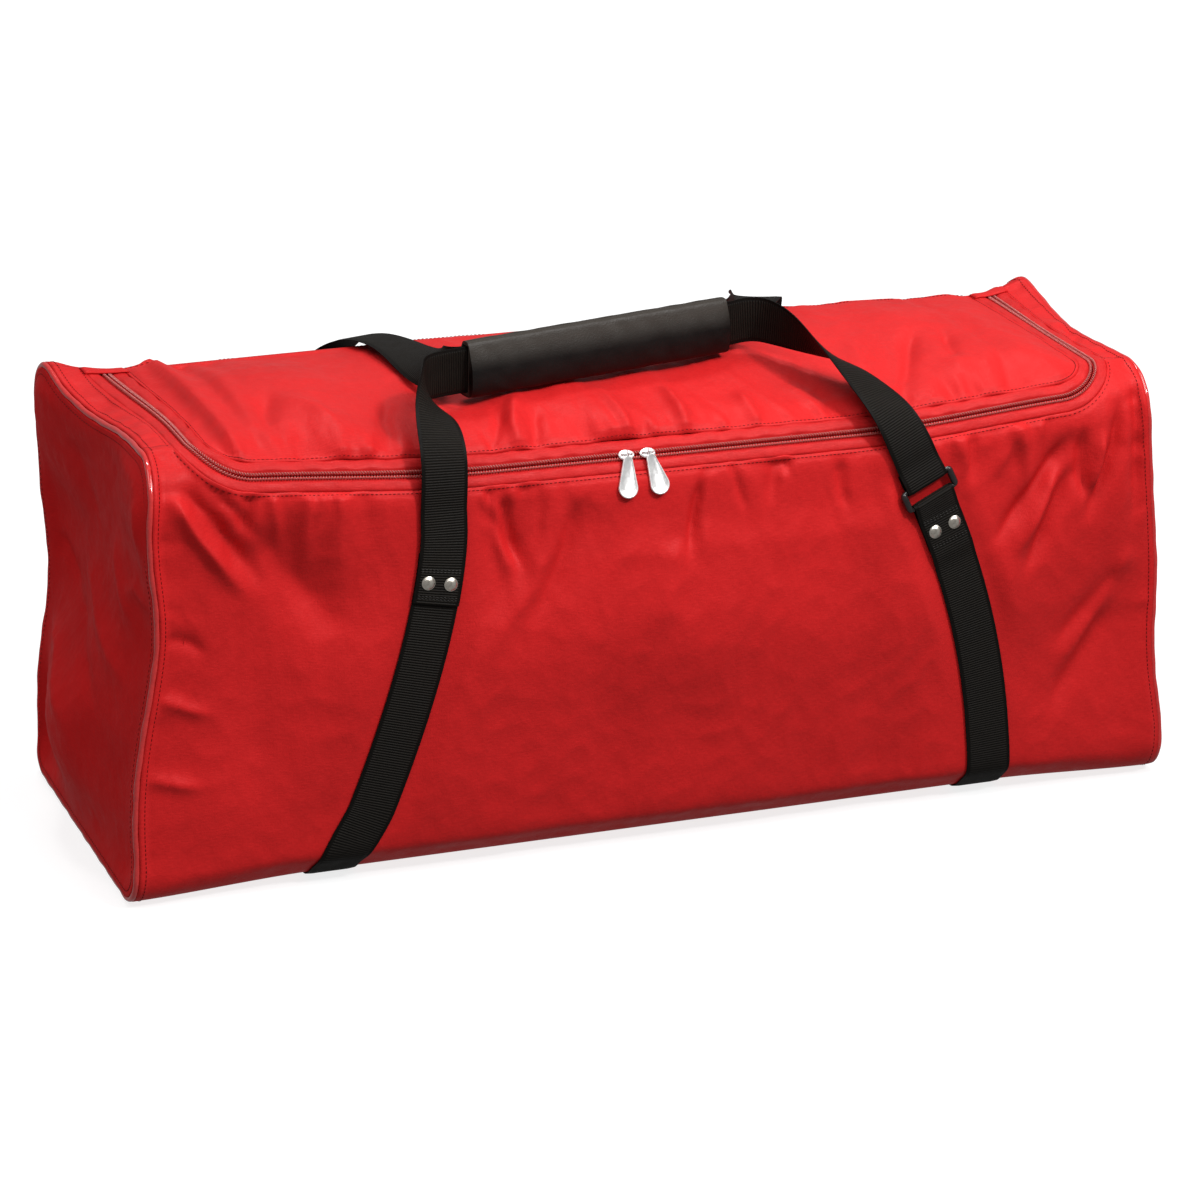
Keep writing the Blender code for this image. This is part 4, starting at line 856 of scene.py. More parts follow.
def base_cloth():
    """Flat on the floor, lifted over each strap and up to its two seams."""
    x = evenly(-(HALF_LENGTH - SEAM_INSET), HALF_LENGTH - SEAM_INSET, 0.006)
    share = np.linspace(0, 1, 64)
    own_x = np.clip(x * TOP_HALF / HALF_LENGTH, -EDGE_X, EDGE_X)
    front, back = surface(own_x, 0.0), surface(own_x, GIRTH_LENGTH)
    points = front[:, None] * (1 - share)[None, :, None] + back[:, None] * share[None, :, None]
    points[..., 0] = x[:, None]
    rim = 1 - smooth(0.0, 0.1, np.minimum(share, 1 - share))[None, :]
    beside_strap = np.abs(np.abs(x) - STRAP_BASE_X) - WEBBING_WIDTH / 2
    over_strap = STRAP_RECESS * (1 - smooth(0.001, 0.008, beside_strap))
    settled = 0.0006 * (1 + waves(x[:, None], share[None, :] * 0.24, 8, 0.05, 0.14, 1.0, 31) * 0.6)
    points[..., 2] = np.maximum.reduce([
        points[..., 2] * rim, over_strap[:, None] + 0 * settled, np.maximum(settled, 0.0001),
    ])
    faces = [face[::-1] for face in quads(len(x), len(share))]
    piece = add_piece("base_cloth", points, faces, pairs(x, share * BASE_WIDTH), CLOTH)
    finished(thicken(piece), "bag_body", "red_cloth", "bottom_panel")
    return piece


# --- Ends ---------------------------------------------------------------------------------------
END_CENTRE = np.array([0.0, 0.19])


def end_loop(inset, count=360):
    """Closed outline (y, z) of an end, evenly spaced and moved inwards by inset."""
    closed = np.concatenate([GIRTH, GIRTH[:1]])
    run = run_along(closed)
    at = np.linspace(0, run[-1], count, endpoint=False)
    loop = np.stack([np.interp(at, run, closed[:, k]) for k in (0, 1)], axis=-1)
    ahead = unit(np.roll(loop, -1, axis=0) - np.roll(loop, 1, axis=0))
    return loop + np.stack([ahead[:, 1], -ahead[:, 0]], axis=-1) * inset


def end_place(side, yz, out):
    """Points on an end's leaning face, raised outwards by out."""
    y, z = yz[..., 0], yz[..., 1]
    out_by, up_by = end_sag(side, y, z)
    x = HALF_LENGTH - END_LEAN * z / END_HEIGHT + out_by + out
    return np.stack([side * x, y, z + up_by], axis=-1)


# Folds on an end as ((y, z) points, half width, height).
END_FOLDS = {
    -1: [
        ([(0.06, 0.225), (0.0208, 0.2165), (-0.06, 0.18), (-0.119, 0.16)], 0.012, 0.0055),
        ([(0.13, 0.15), (0.07, 0.145), (0.0196, 0.12), (-0.03, 0.09)], 0.012, 0.006),
        ([(-0.02, 0.27), (-0.0414, 0.258), (-0.08, 0.225), (-0.11, 0.2)], 0.01, 0.0045),
        ([(0.09, 0.19), (0.04, 0.178), (-0.02, 0.15), (-0.07, 0.12)], 0.011, -0.005),
        ([(0.135, 0.225), (0.1, 0.2), (0.06, 0.18)], 0.009, -0.004),
        ([(0.135, 0.09), (0.08, 0.085), (0.02, 0.06)], 0.014, -0.0045),
        ([(-0.13, 0.24), (-0.1, 0.25), (-0.07, 0.235)], 0.008, 0.0035),
        ([(0.06, 0.33), (0.04, 0.29), (0.000, 0.25)], 0.016, -0.004),
    ],
    1: [
        ([(-0.11, 0.3), (-0.06, 0.24), (0.000, 0.19), (0.06, 0.16)], 0.013, 0.0055),
        ([(-0.13, 0.23), (-0.08, 0.18), (-0.02, 0.13)], 0.012, -0.005),
        ([(0.12, 0.29), (0.07, 0.25), (0.02, 0.18), (-0.02, 0.14)], 0.012, 0.005),
        ([(0.135, 0.2), (0.08, 0.16), (0.03, 0.1)], 0.013, -0.005),
        ([(-0.12, 0.11), (-0.06, 0.1), (0.01, 0.07)], 0.012, 0.0045),
    ],
}


def end_relief(side, yz, inside):
    """Slack in an end panel. inside is the distance from its seam."""
    y, z = yz[..., 0], yz[..., 1]
    height = 0.0042 * waves(y, z, 8, 0.14, 0.3, 1.0, 41 + side)
    height += 0.0007 * waves(y, z, 14, 0.05, 0.11, 1.0, 43 + side)
    height += 0.00015 * (1.0 - np.abs(waves(y, z, 20, 0.02, 0.045, 1.0, 45 + side)) * 1.5)
    for path, width, amount in END_FOLDS[side]:
        height += pleat(y, z, path, width, amount)
    height += 0.013 * np.exp(-((z - 0.085) / 0.055) ** 2 - (y / 0.11) ** 2)
    return height * smooth(0.0, 0.022, inside) - 0.001 * smooth(0.0, 0.03, inside)


def end_cloth(name, side, node):
    """End panel in rings round its heart, closer together near the seam."""
    outline = end_loop(SEAM_INSET - TUCK)
    count = len(outline)
    share = np.concatenate([np.linspace(1, 0.9, 14)[:-1], np.linspace(0.9, 0.03, 46)])
    yz = END_CENTRE + (outline - END_CENTRE)[:, None] * share[None, :, None]
    inside = np.linalg.norm(outline[:, None] - yz, axis=-1)
    rings = end_place(side, yz, end_relief(side, yz, inside)).reshape(-1, 3)
    middle = END_CENTRE[None]
    heart = end_place(side, middle, end_relief(side, middle, np.array([0.2])))
    faces = quads(count, len(share), closed=True)
    faces = faces if side < 0 else [f[::-1] for f in faces]
    last = len(share) - 1
    for k in range(count):
        a, b = k * len(share) + last, (k + 1) % count * len(share) + last
        faces.append([a, b, len(rings)] if side < 0 else [b, a, len(rings)])
    uv = np.concatenate([yz.reshape(-1, 2), middle])
    piece = add_piece(name, np.concatenate([rings, heart]), faces, uv, END_CLOTH)
    outward = sum((Vector(p.normal) * p.area for p in piece.data.polygons), Vector())
    if outward.x * side < 0:
        piece.data.flip_normals()
    finished(thicken(piece), "bag_body", "red_cloth", node)
    return piece


def piping(name, side, node):
    """Cord round an end, with a slight wander and swell from its sewing."""
    count, inset = 460, PIPING_RADIUS + 0.0001
    turn = np.arange(count) * 2 * math.pi / count
    path = end_place(side, end_loop(inset, count), 0.0002 * np.sin(turn * 31) - inset)
    radius = PIPING_RADIUS * (1 + 0.05 * np.sin(turn * 53))
    piece = swept(name, path, radius, PIPING, reference=(1, 0, 0), sides=14, closed=True)
    return finished(piece, "bag_body", "red_piping", node)


# --- Zip ----------------------------------------------------------------------------------------
def zip_path(step):
    """Places along the zip as x, s and the outward direction in the skin's own measures."""
    angle = np.linspace(0, math.pi / 2, max(3, int(ZIP_CORNER * math.pi / 2 / step)))
    cos, sin = np.cos(angle), np.sin(angle)
    side = [(-ZIP_SIDE, s, -1.0, 0.0) for s in evenly(S_HINGE - 0.003, CORNER_TOP, step)[:-1]]
    corner = np.stack([-ZIP_INNER - ZIP_CORNER * cos, CORNER_TOP - ZIP_CORNER * sin, -cos, -sin], axis=-1)
    front = [(x, S_ZIP, 0.0, -1.0) for x in evenly(-ZIP_INNER, ZIP_INNER, step)[1:-1]]
    left = np.concatenate([side, corner])
    return np.concatenate([left, front, left[::-1] * np.array([-1, 1, -1, 1])])


ROUTE = zip_path(0.0026)
ROUTE_RUN = run_along(ROUTE[:, :2])


def near_zip(run, distance):
    """The skin's own x and s at run along the zip and distance from it towards the lid."""
    x, s, out_x, out_s = (np.interp(run, ROUTE_RUN, ROUTE[:, k]) for k in range(4))
    return x - out_x * distance, s - out_s * distance


def by_zip(run, distance, lift):
    """Point near the zip, raised by lift over the skin."""
    x, s = near_zip(run, distance)
    return skin(x, s) + shift(x, s) + normal(x, s) * np.asarray(lift)[..., None]


def zip_tape(name, toward, body, node):
    """Woven tape from the seam to the coil, and on under it."""
    profile = np.array([
        (0.015, -0.0034), (0.0128, -0.0031), (0.0125, -0.0006), (0.0108, -0.0003), (0.0084, -0.0002),
        (0.006, -0.0004), (0.0044, -0.0007), (0.0036, -0.002), (0.002, -0.0022), (0.0004, -0.0022),
    ])
    order = np.argsort(toward * profile[:, 0])
    distance, lift = toward * profile[order, 0], profile[order, 1]
    run = ROUTE_RUN[:, None]
    ruck = 0.0005 * np.sin(run * 190 + 2.2 * np.sin(run * 37)) * (np.abs(distance) > 0.005)
    points = by_zip(run, distance[None, :], lift[None, :] + ruck)
    uv = pairs(ROUTE_RUN, distance)
    piece = thicken(add_piece(name, points, quads(len(ROUTE_RUN), len(profile)), uv, TAPE), 0.0005)
    return finished(piece, body, "red_zip", node)


def zip_coil(name, toward, body, node):
    """Nylon coil, as a close flattened helix."""
    pitch, steps, wire, end_gap = 0.0023, 9, 0.00052, 0.002
    turns = int((ROUTE_RUN[-1] - 2 * end_gap) / pitch)
    angle = np.arange(turns * steps) * 2 * math.pi / steps
    run = end_gap + pitch * angle / (2 * math.pi)
    middle = (COIL_OUTER + COIL_INNER) / 2
    half = (COIL_OUTER - COIL_INNER) / 2
    distance = toward * (middle + (half - wire) * np.cos(angle))
    lift = -0.0004 + (0.001 - wire * 0.4) * np.sin(angle)
    curve = bpy.data.curves.new(name, "CURVE")
    curve.dimensions = "3D"
    curve.bevel_depth = wire
    curve.bevel_resolution = 1
    curve.use_fill_caps = True
    spline = curve.splines.new("POLY")
    points = by_zip(run, distance, lift)
    spline.points.add(len(points) - 1)
    spline.points.foreach_set("co", np.concatenate([points, np.ones((len(points), 1))], axis=1).reshape(-1))
    curve.materials.append(COIL)
    return finished(put(name, curve), body, "red_zip", node)


def zip_stop(name, side, node):
    """Folded tab sewn over the zip's end, with a soft rounded edge."""
    half_width, half_length = 0.0145, 0.0065
    across = np.linspace(-1, 1, 13)[:, None]
    along = np.linspace(-1, 1, 9)[None, :]
    uv = pairs(side * ZIP_SIDE + half_width * across[:, 0], S_HINGE - 0.007 + half_length * along[0])
    edge = np.minimum(1 - across ** 6, 1 - along ** 6)
    points = surface(uv[..., 0], uv[..., 1], 0.0014 + 0.0008 * edge)
    piece = thicken(add_piece(name, points, quads(*edge.shape), uv, CLOTH), 0.0012)
    return finished(piece, "bag_body", "red_cloth", node)


# --- Straps on the walls ------------------------------------------------------------------------
ACROSS = np.linspace(-WEBBING_WIDTH / 2, WEBBING_WIDTH / 2, 9)
HALF_TURN = np.array([-1.0, -1.0, 1.0])
ROUND_BAR = np.radians(np.arange(0, 181, 12))   # angles of webbing that turns back round a ring's bar


def directed(vector):
    """One vector, of length 1."""
    return np.array(vector, float) / np.linalg.norm(vector)


class Wall:
    """Front wall, or the back wall given half a turn about Z so that it faces the front too."""

    def __init__(self, is_turned):
        self.is_turned = is_turned
        s = s_at(PIVOT_Z)
        base = self.middle(ring_lean, s)
        x = course(ring_lean, s)
        self.ring_base = base
        self.ring_out = self.out(x, s)
        ahead = self.middle(ring_lean, s + 0.004) - base
        self.ring_up = directed(ahead - self.ring_out * ahead.dot(self.ring_out))
        self.ring_across = -np.cross(self.ring_out, self.ring_up)

    def spin(self, points):
        """Half a turn about Z on the back wall, from the wall's own frame to the bag's and back."""
        return points * HALF_TURN if self.is_turned else points

    def surface(self, x, s, lift):
        """Point of the visible cloth in the wall's own frame."""
        if self.is_turned:
            return self.spin(surface(-x, GIRTH_LENGTH - s, lift))
        return surface(x, s, lift)

    def out(self, x, s):
        """Outward direction at the wall's own place."""
        return self.spin(normal(-x, GIRTH_LENGTH - s)) if self.is_turned else normal(x, s)

    def middle(self, lean, s):
        """Middle of a strap's course on the wall."""
        return self.surface(course(lean, s), np.asarray(s, float), 0.0)

    def rows(self, lean, s, lift):
        """Rows of points across a strap that lies on the wall."""
        s = np.asarray(s, float)[:, None]
        tilt = slope(lean, s)
        across = ACROSS / np.hypot(1, tilt)
        lift = np.broadcast_to(np.asarray(lift, float).reshape(-1, 1), (len(s), len(ACROSS)))
        return self.surface(course(lean, s) + across, s - across * tilt, lift)

    def ring_rows(self, up, out):
        """Rows at the ring, from the middle of its lower bar, with out counted from the skin."""
        up, out = np.broadcast_arrays(np.asarray(up, float), np.asarray(out, float))
        centre = self.ring_base + self.ring_up * up[:, None] + self.ring_out * out[:, None]
        return centre[:, None] + self.ring_across * ACROSS[:, None]


FRONT, BACK = Wall(False), Wall(True)


def strap_mesh(name, rows, start=0.0):
    """Closed strap round rows of points across it, thinner at its selvedges, start metres along it."""
    along = unit(np.gradient(rows, axis=0))
    across = unit(np.gradient(rows, axis=1))
    face = unit(np.cross(along, across))
    edge = np.abs(ACROSS / (WEBBING_WIDTH / 2))
    half = WEBBING / 2 * (1 - 0.55 * smooth(0.86, 1.0, edge)) * (1 - 0.1 * smooth(0.8, 0.86, edge))
    count, wide = rows.shape[:2]
    over, under = rows + face * half[None, :, None], rows - face * half[None, :, None]
    loops = np.concatenate([over, under[:, ::-1]], axis=1)
    uv = pairs(start + run_along(rows[:, wide // 2]), np.concatenate([ACROSS, ACROSS[::-1]]))
    index = np.arange(count * 2 * wide).reshape(count, 2 * wide)
    faces = tube(index)
    for row in (index[0], index[-1]):
        faces += [[row[k], row[k + 1], row[2 * wide - 2 - k], row[2 * wide - 1 - k]] for k in range(wide - 1)]
    return face_out(add_piece(name, loops, faces, uv, RIBBED, sharp=60))


def up_wall(top):
    """Distances s up a wall to a top, closer together round its foot."""
    return np.concatenate([evenly(0.002, S_FRONT_BASE, 0.0022), evenly(S_FRONT_BASE, top, 0.004)[1:]])


def plain_run(wall):
    """Up the wall to the handle's riveted end."""
    return wall.rows(riveted_lean, up_wall(s_at(PIVOT_Z - 0.003)), FIRST_LAYER)


def ring_run(wall):
    """Up the wall, round the ring's lower bar and down again behind itself."""
    tail_end, turn_start = s_at(RIVET_Z - 0.016), s_at(RIVET_Z + 0.012)
    s = up_wall(turn_start)
    rise = smooth(tail_end - 0.02, tail_end - 0.003, s)
    outer = wall.rows(ring_lean, s, FIRST_LAYER + (SECOND_LAYER - FIRST_LAYER) * rise)
    loop = wall.ring_rows(LOOP_RADIUS * np.sin(ROUND_BAR), BAR_HEIGHT + LOOP_RADIUS * np.cos(ROUND_BAR))
    tail = wall.rows(ring_lean, np.linspace(turn_start, tail_end, 8), FIRST_LAYER)
    return np.concatenate([outer, loop, tail])


def girth_strap(name, plain_wall, ring_wall, node):
    """From the plain end on one wall, under the bag, to the ring end on the other."""
    plain, ring = plain_wall.spin(plain_run(plain_wall))[::-1], ring_wall.spin(ring_run(ring_wall))
    if (plain[-1, -1] - plain[-1, 0]).dot(ring[0, -1] - ring[0, 0]) < 0:
        plain = plain[:, ::-1]
    share = np.linspace(0, 1, 60)[1:-1, None, None]
    under = plain[-1] * (1 - share) + ring[0] * share
    rim = 1 - smooth(0.0, 0.14, np.minimum(share, 1 - share))[..., 0]
    under[..., 2] = WEBBING / 2 + (under[..., 2] - WEBBING / 2) * rim
    piece = strap_mesh(name, np.concatenate([plain, under, ring]))
    return finished(piece, "bag_body", "black_webbing", node)


# --- Handles ------------------------------------------------------------------------------------
GRIP_LEFT = np.array([-0.144, -0.062, 0.392])
GRIP_RIGHT = np.array([0.091, -0.014, 0.3945])
GRIP_ALONG = directed(GRIP_RIGHT - GRIP_LEFT)
GRIP_BACK = directed(np.cross([0, 0, 1], GRIP_ALONG))
GRIP_UP = directed(np.cross(GRIP_ALONG, GRIP_BACK))
GRIP_LENGTH = 0.24
GRIP_HEIGHT = 0.046
GRIP_DEPTH = 0.026
GRIP_SQUARENESS = 0.52      # 1 makes the wrap's section an ellipse and 0 a rectangle
GRIP_OVERHANG = 0.009       # the cover reaches past the handles' straight part at its left end
SLOT_HALF = 0.004
HANDLE_OFFSET = 0.0017
ROOT_TOP_Z = 0.322          # where a handle's riveted root ends and its swinging middle begins
RING_END_TOP_Z = 0.345      # where its middle ends and its ring end begins
ON_EDGE = (0, 0, 1)
FLAT = (1, 0, 0)
FRONT_FIRST_LEAD = [
    ((-0.199, -0.148, 0.344), FLAT),
    ((-0.1975, -0.13, 0.366), (1, 0, -0.15)),
    ((-0.1965, -0.11, 0.379), (0.8, 0, -0.6)),
    ((-0.196, -0.093, 0.387), (0.25, 0, -1)),
    ((-0.193, -0.0795, 0.39), ON_EDGE),
    ((-0.184, -0.0715, 0.391), ON_EDGE),
    ((-0.166, -0.067, 0.3915), ON_EDGE),
]
FRONT_LAST_LEAD = [
    ((0.107, -0.012, 0.3955), ON_EDGE),
    ((0.119, -0.014, 0.3965), ON_EDGE),
    ((0.129, -0.023, 0.396), ON_EDGE),
    ((0.14, -0.044, 0.393), (0.25, 0.12, -1)),
    ((0.153, -0.07, 0.386), (0.7, 0.35, -0.8)),
    ((0.166, -0.096, 0.377), (0.95, 0.4, -0.35)),
    ((0.178, -0.1235, 0.362), (1, 0.35, -0.05)),
    ((0.19, -0.143, 0.345), (1, 0.2, 0.15)),
]
BACK_FIRST_LEAD = [
    ((0.1985, 0.149, 0.344), FLAT),
    ((0.191, 0.132, 0.366), (-1, 0.1, 0)),
    ((0.178, 0.108, 0.377), (-0.97, 0.25, 0)),
    ((0.162, 0.082, 0.3835), (-0.93, 0.35, 0.12)),
    ((0.146, 0.06, 0.387), (-0.8, 0.35, 0.4)),
    ((0.131, 0.04, 0.389), (-0.45, 0.25, 0.85)),
    ((0.116, 0.02, 0.3912), (-0.1, 0.1, 1)),
    ((0.104, 0.004, 0.3935), ON_EDGE),
]
BACK_LAST_LEAD = [
    ((-0.156, -0.0627, 0.3915), ON_EDGE),
    ((-0.165, -0.059, 0.3905), (0.05, 0.1, 1)),
    ((-0.1705, -0.046, 0.3888), (0.35, 0.1, 0.93)),
    ((-0.1715, -0.024, 0.3855), (0.75, 0.1, 0.65)),
    ((-0.17, 0.005, 0.382), (0.93, 0.05, 0.35)),
    ((-0.169, 0.042, 0.3792), (1, 0, 0.1)),
    ((-0.171, 0.078, 0.3762), (1, 0.1, 0)),
    ((-0.178, 0.11, 0.3715), (1, 0.25, 0)),
    ((-0.187, 0.133, 0.363), (1, 0.35, 0)),
    ((-0.1985, 0.149, 0.345), (1, 0.15, -0.05)),
]


def inside_grip(offset):
    """Stations through the wrap, offset towards its back."""
    share = np.linspace(0, 1, 5)[:, None]
    middles = GRIP_LEFT + (GRIP_RIGHT - GRIP_LEFT) * share + GRIP_BACK * offset
    return [(middle, ON_EDGE) for middle in middles]


def free_run(first_side, stations, steps=10, smoothings=24):
    """Rows along a Catmull-Rom route through (middle, side) stations, with no false half turn."""
    middles = np.array([middle for middle, _ in stations], float)
    sides = [directed(side) for _, side in stations]
    last = first_side
    for k, side in enumerate(sides):
        sides[k] = side if side.dot(last) >= 0 else -side
        last = sides[k]
    rows = []
    for k in range(len(stations) - 1):
        a, b, c = middles[max(k - 1, 0)], middles[k], middles[k + 1]
        d = middles[min(k + 2, len(stations) - 1)]
        for t in np.arange(steps) / steps:
            bend, twist = 2 * a - 5 * b + 4 * c - d, 3 * b - a - 3 * c + d
            middle = 0.5 * (2 * b + (c - a) * t + bend * t * t + twist * t ** 3)
            ahead = directed((c - a) + 2 * bend * t + 3 * twist * t * t)
            side = sides[k] * (1 - t) + sides[k + 1] * t
            side = directed(side - ahead * side.dot(ahead))
            rows.append(middle + side * ACROSS[:, None])
    rows = np.array(rows)
    for _ in range(smoothings):
        rows[1:-1] = (rows[:-2] + 2 * rows[1:-1] + rows[2:]) / 4
    return rows


def handle_rows(wall, first_lead, grip, last_lead):
    """Riveted end, over the shoulder, through the wrap on edge, and down round the ring's upper bar."""
    flat = wall.spin(wall.rows(riveted_lean, evenly(s_at(RIVET_Z - 0.018), S_SHOULDER, 0.004), SECOND_LAYER))
    above = wall.spin(wall.ring_rows(
        [0.048, 0.034, BAR_SPACING + 0.008], [0.0062, 0.005, BAR_HEIGHT + LOOP_RADIUS - 0.0008]
    ))
    turn = wall.spin(wall.ring_rows(BAR_SPACING - LOOP_RADIUS * np.sin(ROUND_BAR),
                                    BAR_HEIGHT + LOOP_RADIUS * np.cos(ROUND_BAR)))
    tail = wall.spin(wall.ring_rows([BAR_SPACING + 0.006, BAR_SPACING + 0.014], FIRST_LAYER))
    below, *beyond = [(row[len(ACROSS) // 2], row[-1] - row[0]) for row in (flat[-1], *above)]
    free = free_run(below[1], [below, *first_lead, *grip, *last_lead, *beyond])
    rows = np.concatenate([flat[:-1], free])
    final = np.concatenate([above[-1:], turn, tail])
    if (final[0, -1] - final[0, 0]).dot(rows[-1, -1] - rows[-1, 0]) < 0:
        final = final[:, ::-1]
    return np.concatenate([rows, final])


def fold_aside(piece):
    """Give a piece its own copy of its mesh."""
    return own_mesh(piece)


def handle(end, wall, rows, node):
    """Handle in three joined pieces: its riveted root, its swinging middle, and its ring end."""
    centre = rows[:, len(ACROSS) // 2]
    run = run_along(centre)
    root_end = int(np.argmax(centre[:, 2] > ROOT_TOP_Z))
    ring_start = len(rows) - int(np.argmax(centre[::-1, 2] > RING_END_TOP_Z))
    swing = end + "_handle"
    root = strap_mesh(end + "_handle_root", rows[:root_end + 1])
    middle = strap_mesh(end + "_handle_middle", rows[root_end:ring_start + 1], run[root_end])
    ring_end = strap_mesh(end + "_handle_ring_end", rows[ring_start:], run[ring_start])
    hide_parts(node)
    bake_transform(root)
    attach(middle, swing)
    fold_aside(middle)
    base, up = wall.spin(wall.ring_base), wall.spin(wall.ring_up)
    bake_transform(ring_end)


# --- Rings, rivets, sliders and pulls -----------------------------------------------------------
def ring(name, wall, body):
    """Rounded rectangle of moulded rod, thicker at its two sides than at the bars."""
    corner = 0.003
    corner_x, corner_y = WEBBING_WIDTH / 2 + 0.0035 - corner, BAR_SPACING / 2 - corner
    path = np.array([
        (sign_x * corner_x + corner * math.cos(a), BAR_SPACING / 2 + sign_y * corner_y + corner * math.sin(a))
        for sign_x, sign_y, first in ((1, 1, 0), (-1, 1, 90), (-1, -1, 180), (1, -1, 270))
        for a in np.radians(np.linspace(first, first + 90, 9))
    ])
    centre = wall.ring_base + wall.ring_out * BAR_HEIGHT
    points = wall.spin(centre + wall.ring_across * path[:, :1] + wall.ring_up * path[:, 1:])
    thick = BAR_RADIUS * (1 + 0.45 * smooth(0.0205, 0.0222, np.abs(path[:, 0])))
    piece = swept(name, points, thick, PLASTIC, wall.spin(wall.ring_out), sides=16, closed=True)
    return finished(piece, body, "black_plastic", name)


# Section of a rivet's cap as (radius, height over the webbing), from its crown down to its rim.
RIVET_CAP = [
    (0, 0.0027), (0.0012, 0.00265), (0.0024, 0.00245), (0.0036, 0.002), (0.0045, 0.0014), (0.00485, 0.0009),
    (0.0051, 0.0008), (0.0056, 0.00055), (0.0056, 0.0001), (0.005, 0), (0, 0),
]


def rivets(end, wall, lean):
    """Two rivets side by side across a strap."""
    s = s_at(RIVET_Z)
    x = course(lean, s)
    tilt = slope(lean, s)
    low = SECOND_LAYER + WEBBING / 2
    profile = [(radius, low + height) for radius, height in RIVET_CAP]
    turned_out = Vector(wall.spin(wall.out(x, s))).to_track_quat("Z", "X").to_matrix().to_4x4()
    for number, side in ((1, -1), (2, 1)):
        across = side * RIVET_HALF_SPACING / math.hypot(1, tilt)
        place = wall.spin(wall.surface(x + across, np.asarray(s - across * tilt), 0.0))
        name = f"{end}_rivet_{number}"
        cap = turned(name, profile, Matrix.Translation(Vector(place)) @ turned_out, RIVET_METAL)
        finished(cap, "bag_body", "bright_metal", name)


def slider_axes():
    """Middle of the zip between the sliders, lengthwise, uphill and outward."""
    along, _ = tangents(SLIDER_MIDDLE, S_ZIP)
    out = normal(SLIDER_MIDDLE, S_ZIP)
    return skin(SLIDER_MIDDLE, S_ZIP), along, directed(np.cross(out, along)), out


def layered(name, outline, levels, at, finish):
    """Solid over an outline, through (inset, level) steps. at(points, level) gives their places."""
    outline = np.array(outline, float)
    middle = outline.mean(axis=0)
    reach = np.linalg.norm(outline - middle, axis=1, keepdims=True)
    loops = []
    for inset, level in levels:
        loops.append(at(middle + (outline - middle) * np.maximum(1 - inset / reach, 0), level))
    index = np.arange(len(loops) * len(outline)).reshape(len(loops), -1)
    uv = np.tile(outline, (len(loops), 1))
    return face_out(add_piece(name, np.concatenate(loops), capped(index), uv, finish, sharp=40))


COIL_LIFT = 0.0004
PLATE = COIL_LIFT + GAP
BRIDGE_PIN = 0.0031


def slider(name, side, pull_splay):
    """Slider's shield-shaped top plate with its loop, and the neck and lower plate between the coils."""
    place, along, uphill, out = slider_axes()
    place = place + np.array([side * SLIDER_SPACING / 2, 0, 0])

    def flat_at(points, level):
        return place + along * points[:, :1] + uphill * points[:, 1:] + out * level

    angle = np.linspace(0, 2 * math.pi, 40, endpoint=False)
    nose = 1 + 0.1 * side * np.cos(angle)
    plate = np.stack([0.0066 * np.cos(angle), 0.0044 * nose * np.sin(angle)], axis=-1)
    levels = [(0.0004, 0), (0, 0.0004), (0, 0.001), (0.0007, 0.0016), (0.0016, 0.0018)]
    top = layered(name, plate, [(inset, PLATE + level) for inset, level in levels], flat_at, METAL)
    finished(top, name, "bright_metal", name)
    neck_outline = [(-0.004, -0.0002), (0.004, -0.0002), (0.004, 0.0002), (-0.004, 0.0002)]
    neck = layered(name + "_neck", neck_outline, [(0, -0.0036), (0, PLATE + 0.0002)], flat_at, METAL)
    lower_levels = [(0.0004, -0.0045), (0, -0.0042), (0, -0.0036)]
    lower = layered(name + "_lower_plate", plate * 0.9, lower_levels, flat_at, METAL)
    for piece in (neck, lower):
        finished(piece, name, "bright_metal")
    half_turn = np.linspace(0, math.pi, 24)[:, None]
    heights = PLATE + 0.0008 + (BRIDGE_PIN + 0.0004) * np.sin(half_turn) ** 0.5
    path = place + along * 0.0046 * np.cos(half_turn) + out * heights
    finished(swept(name + "_loop", path, 0.0008, METAL, uphill, sides=10), name, "bright_metal")
    pivot = place + out * (PLATE + 0.0012 + BRIDGE_PIN)
    pull(name.replace("slider", "pull"), pivot, pull_splay)


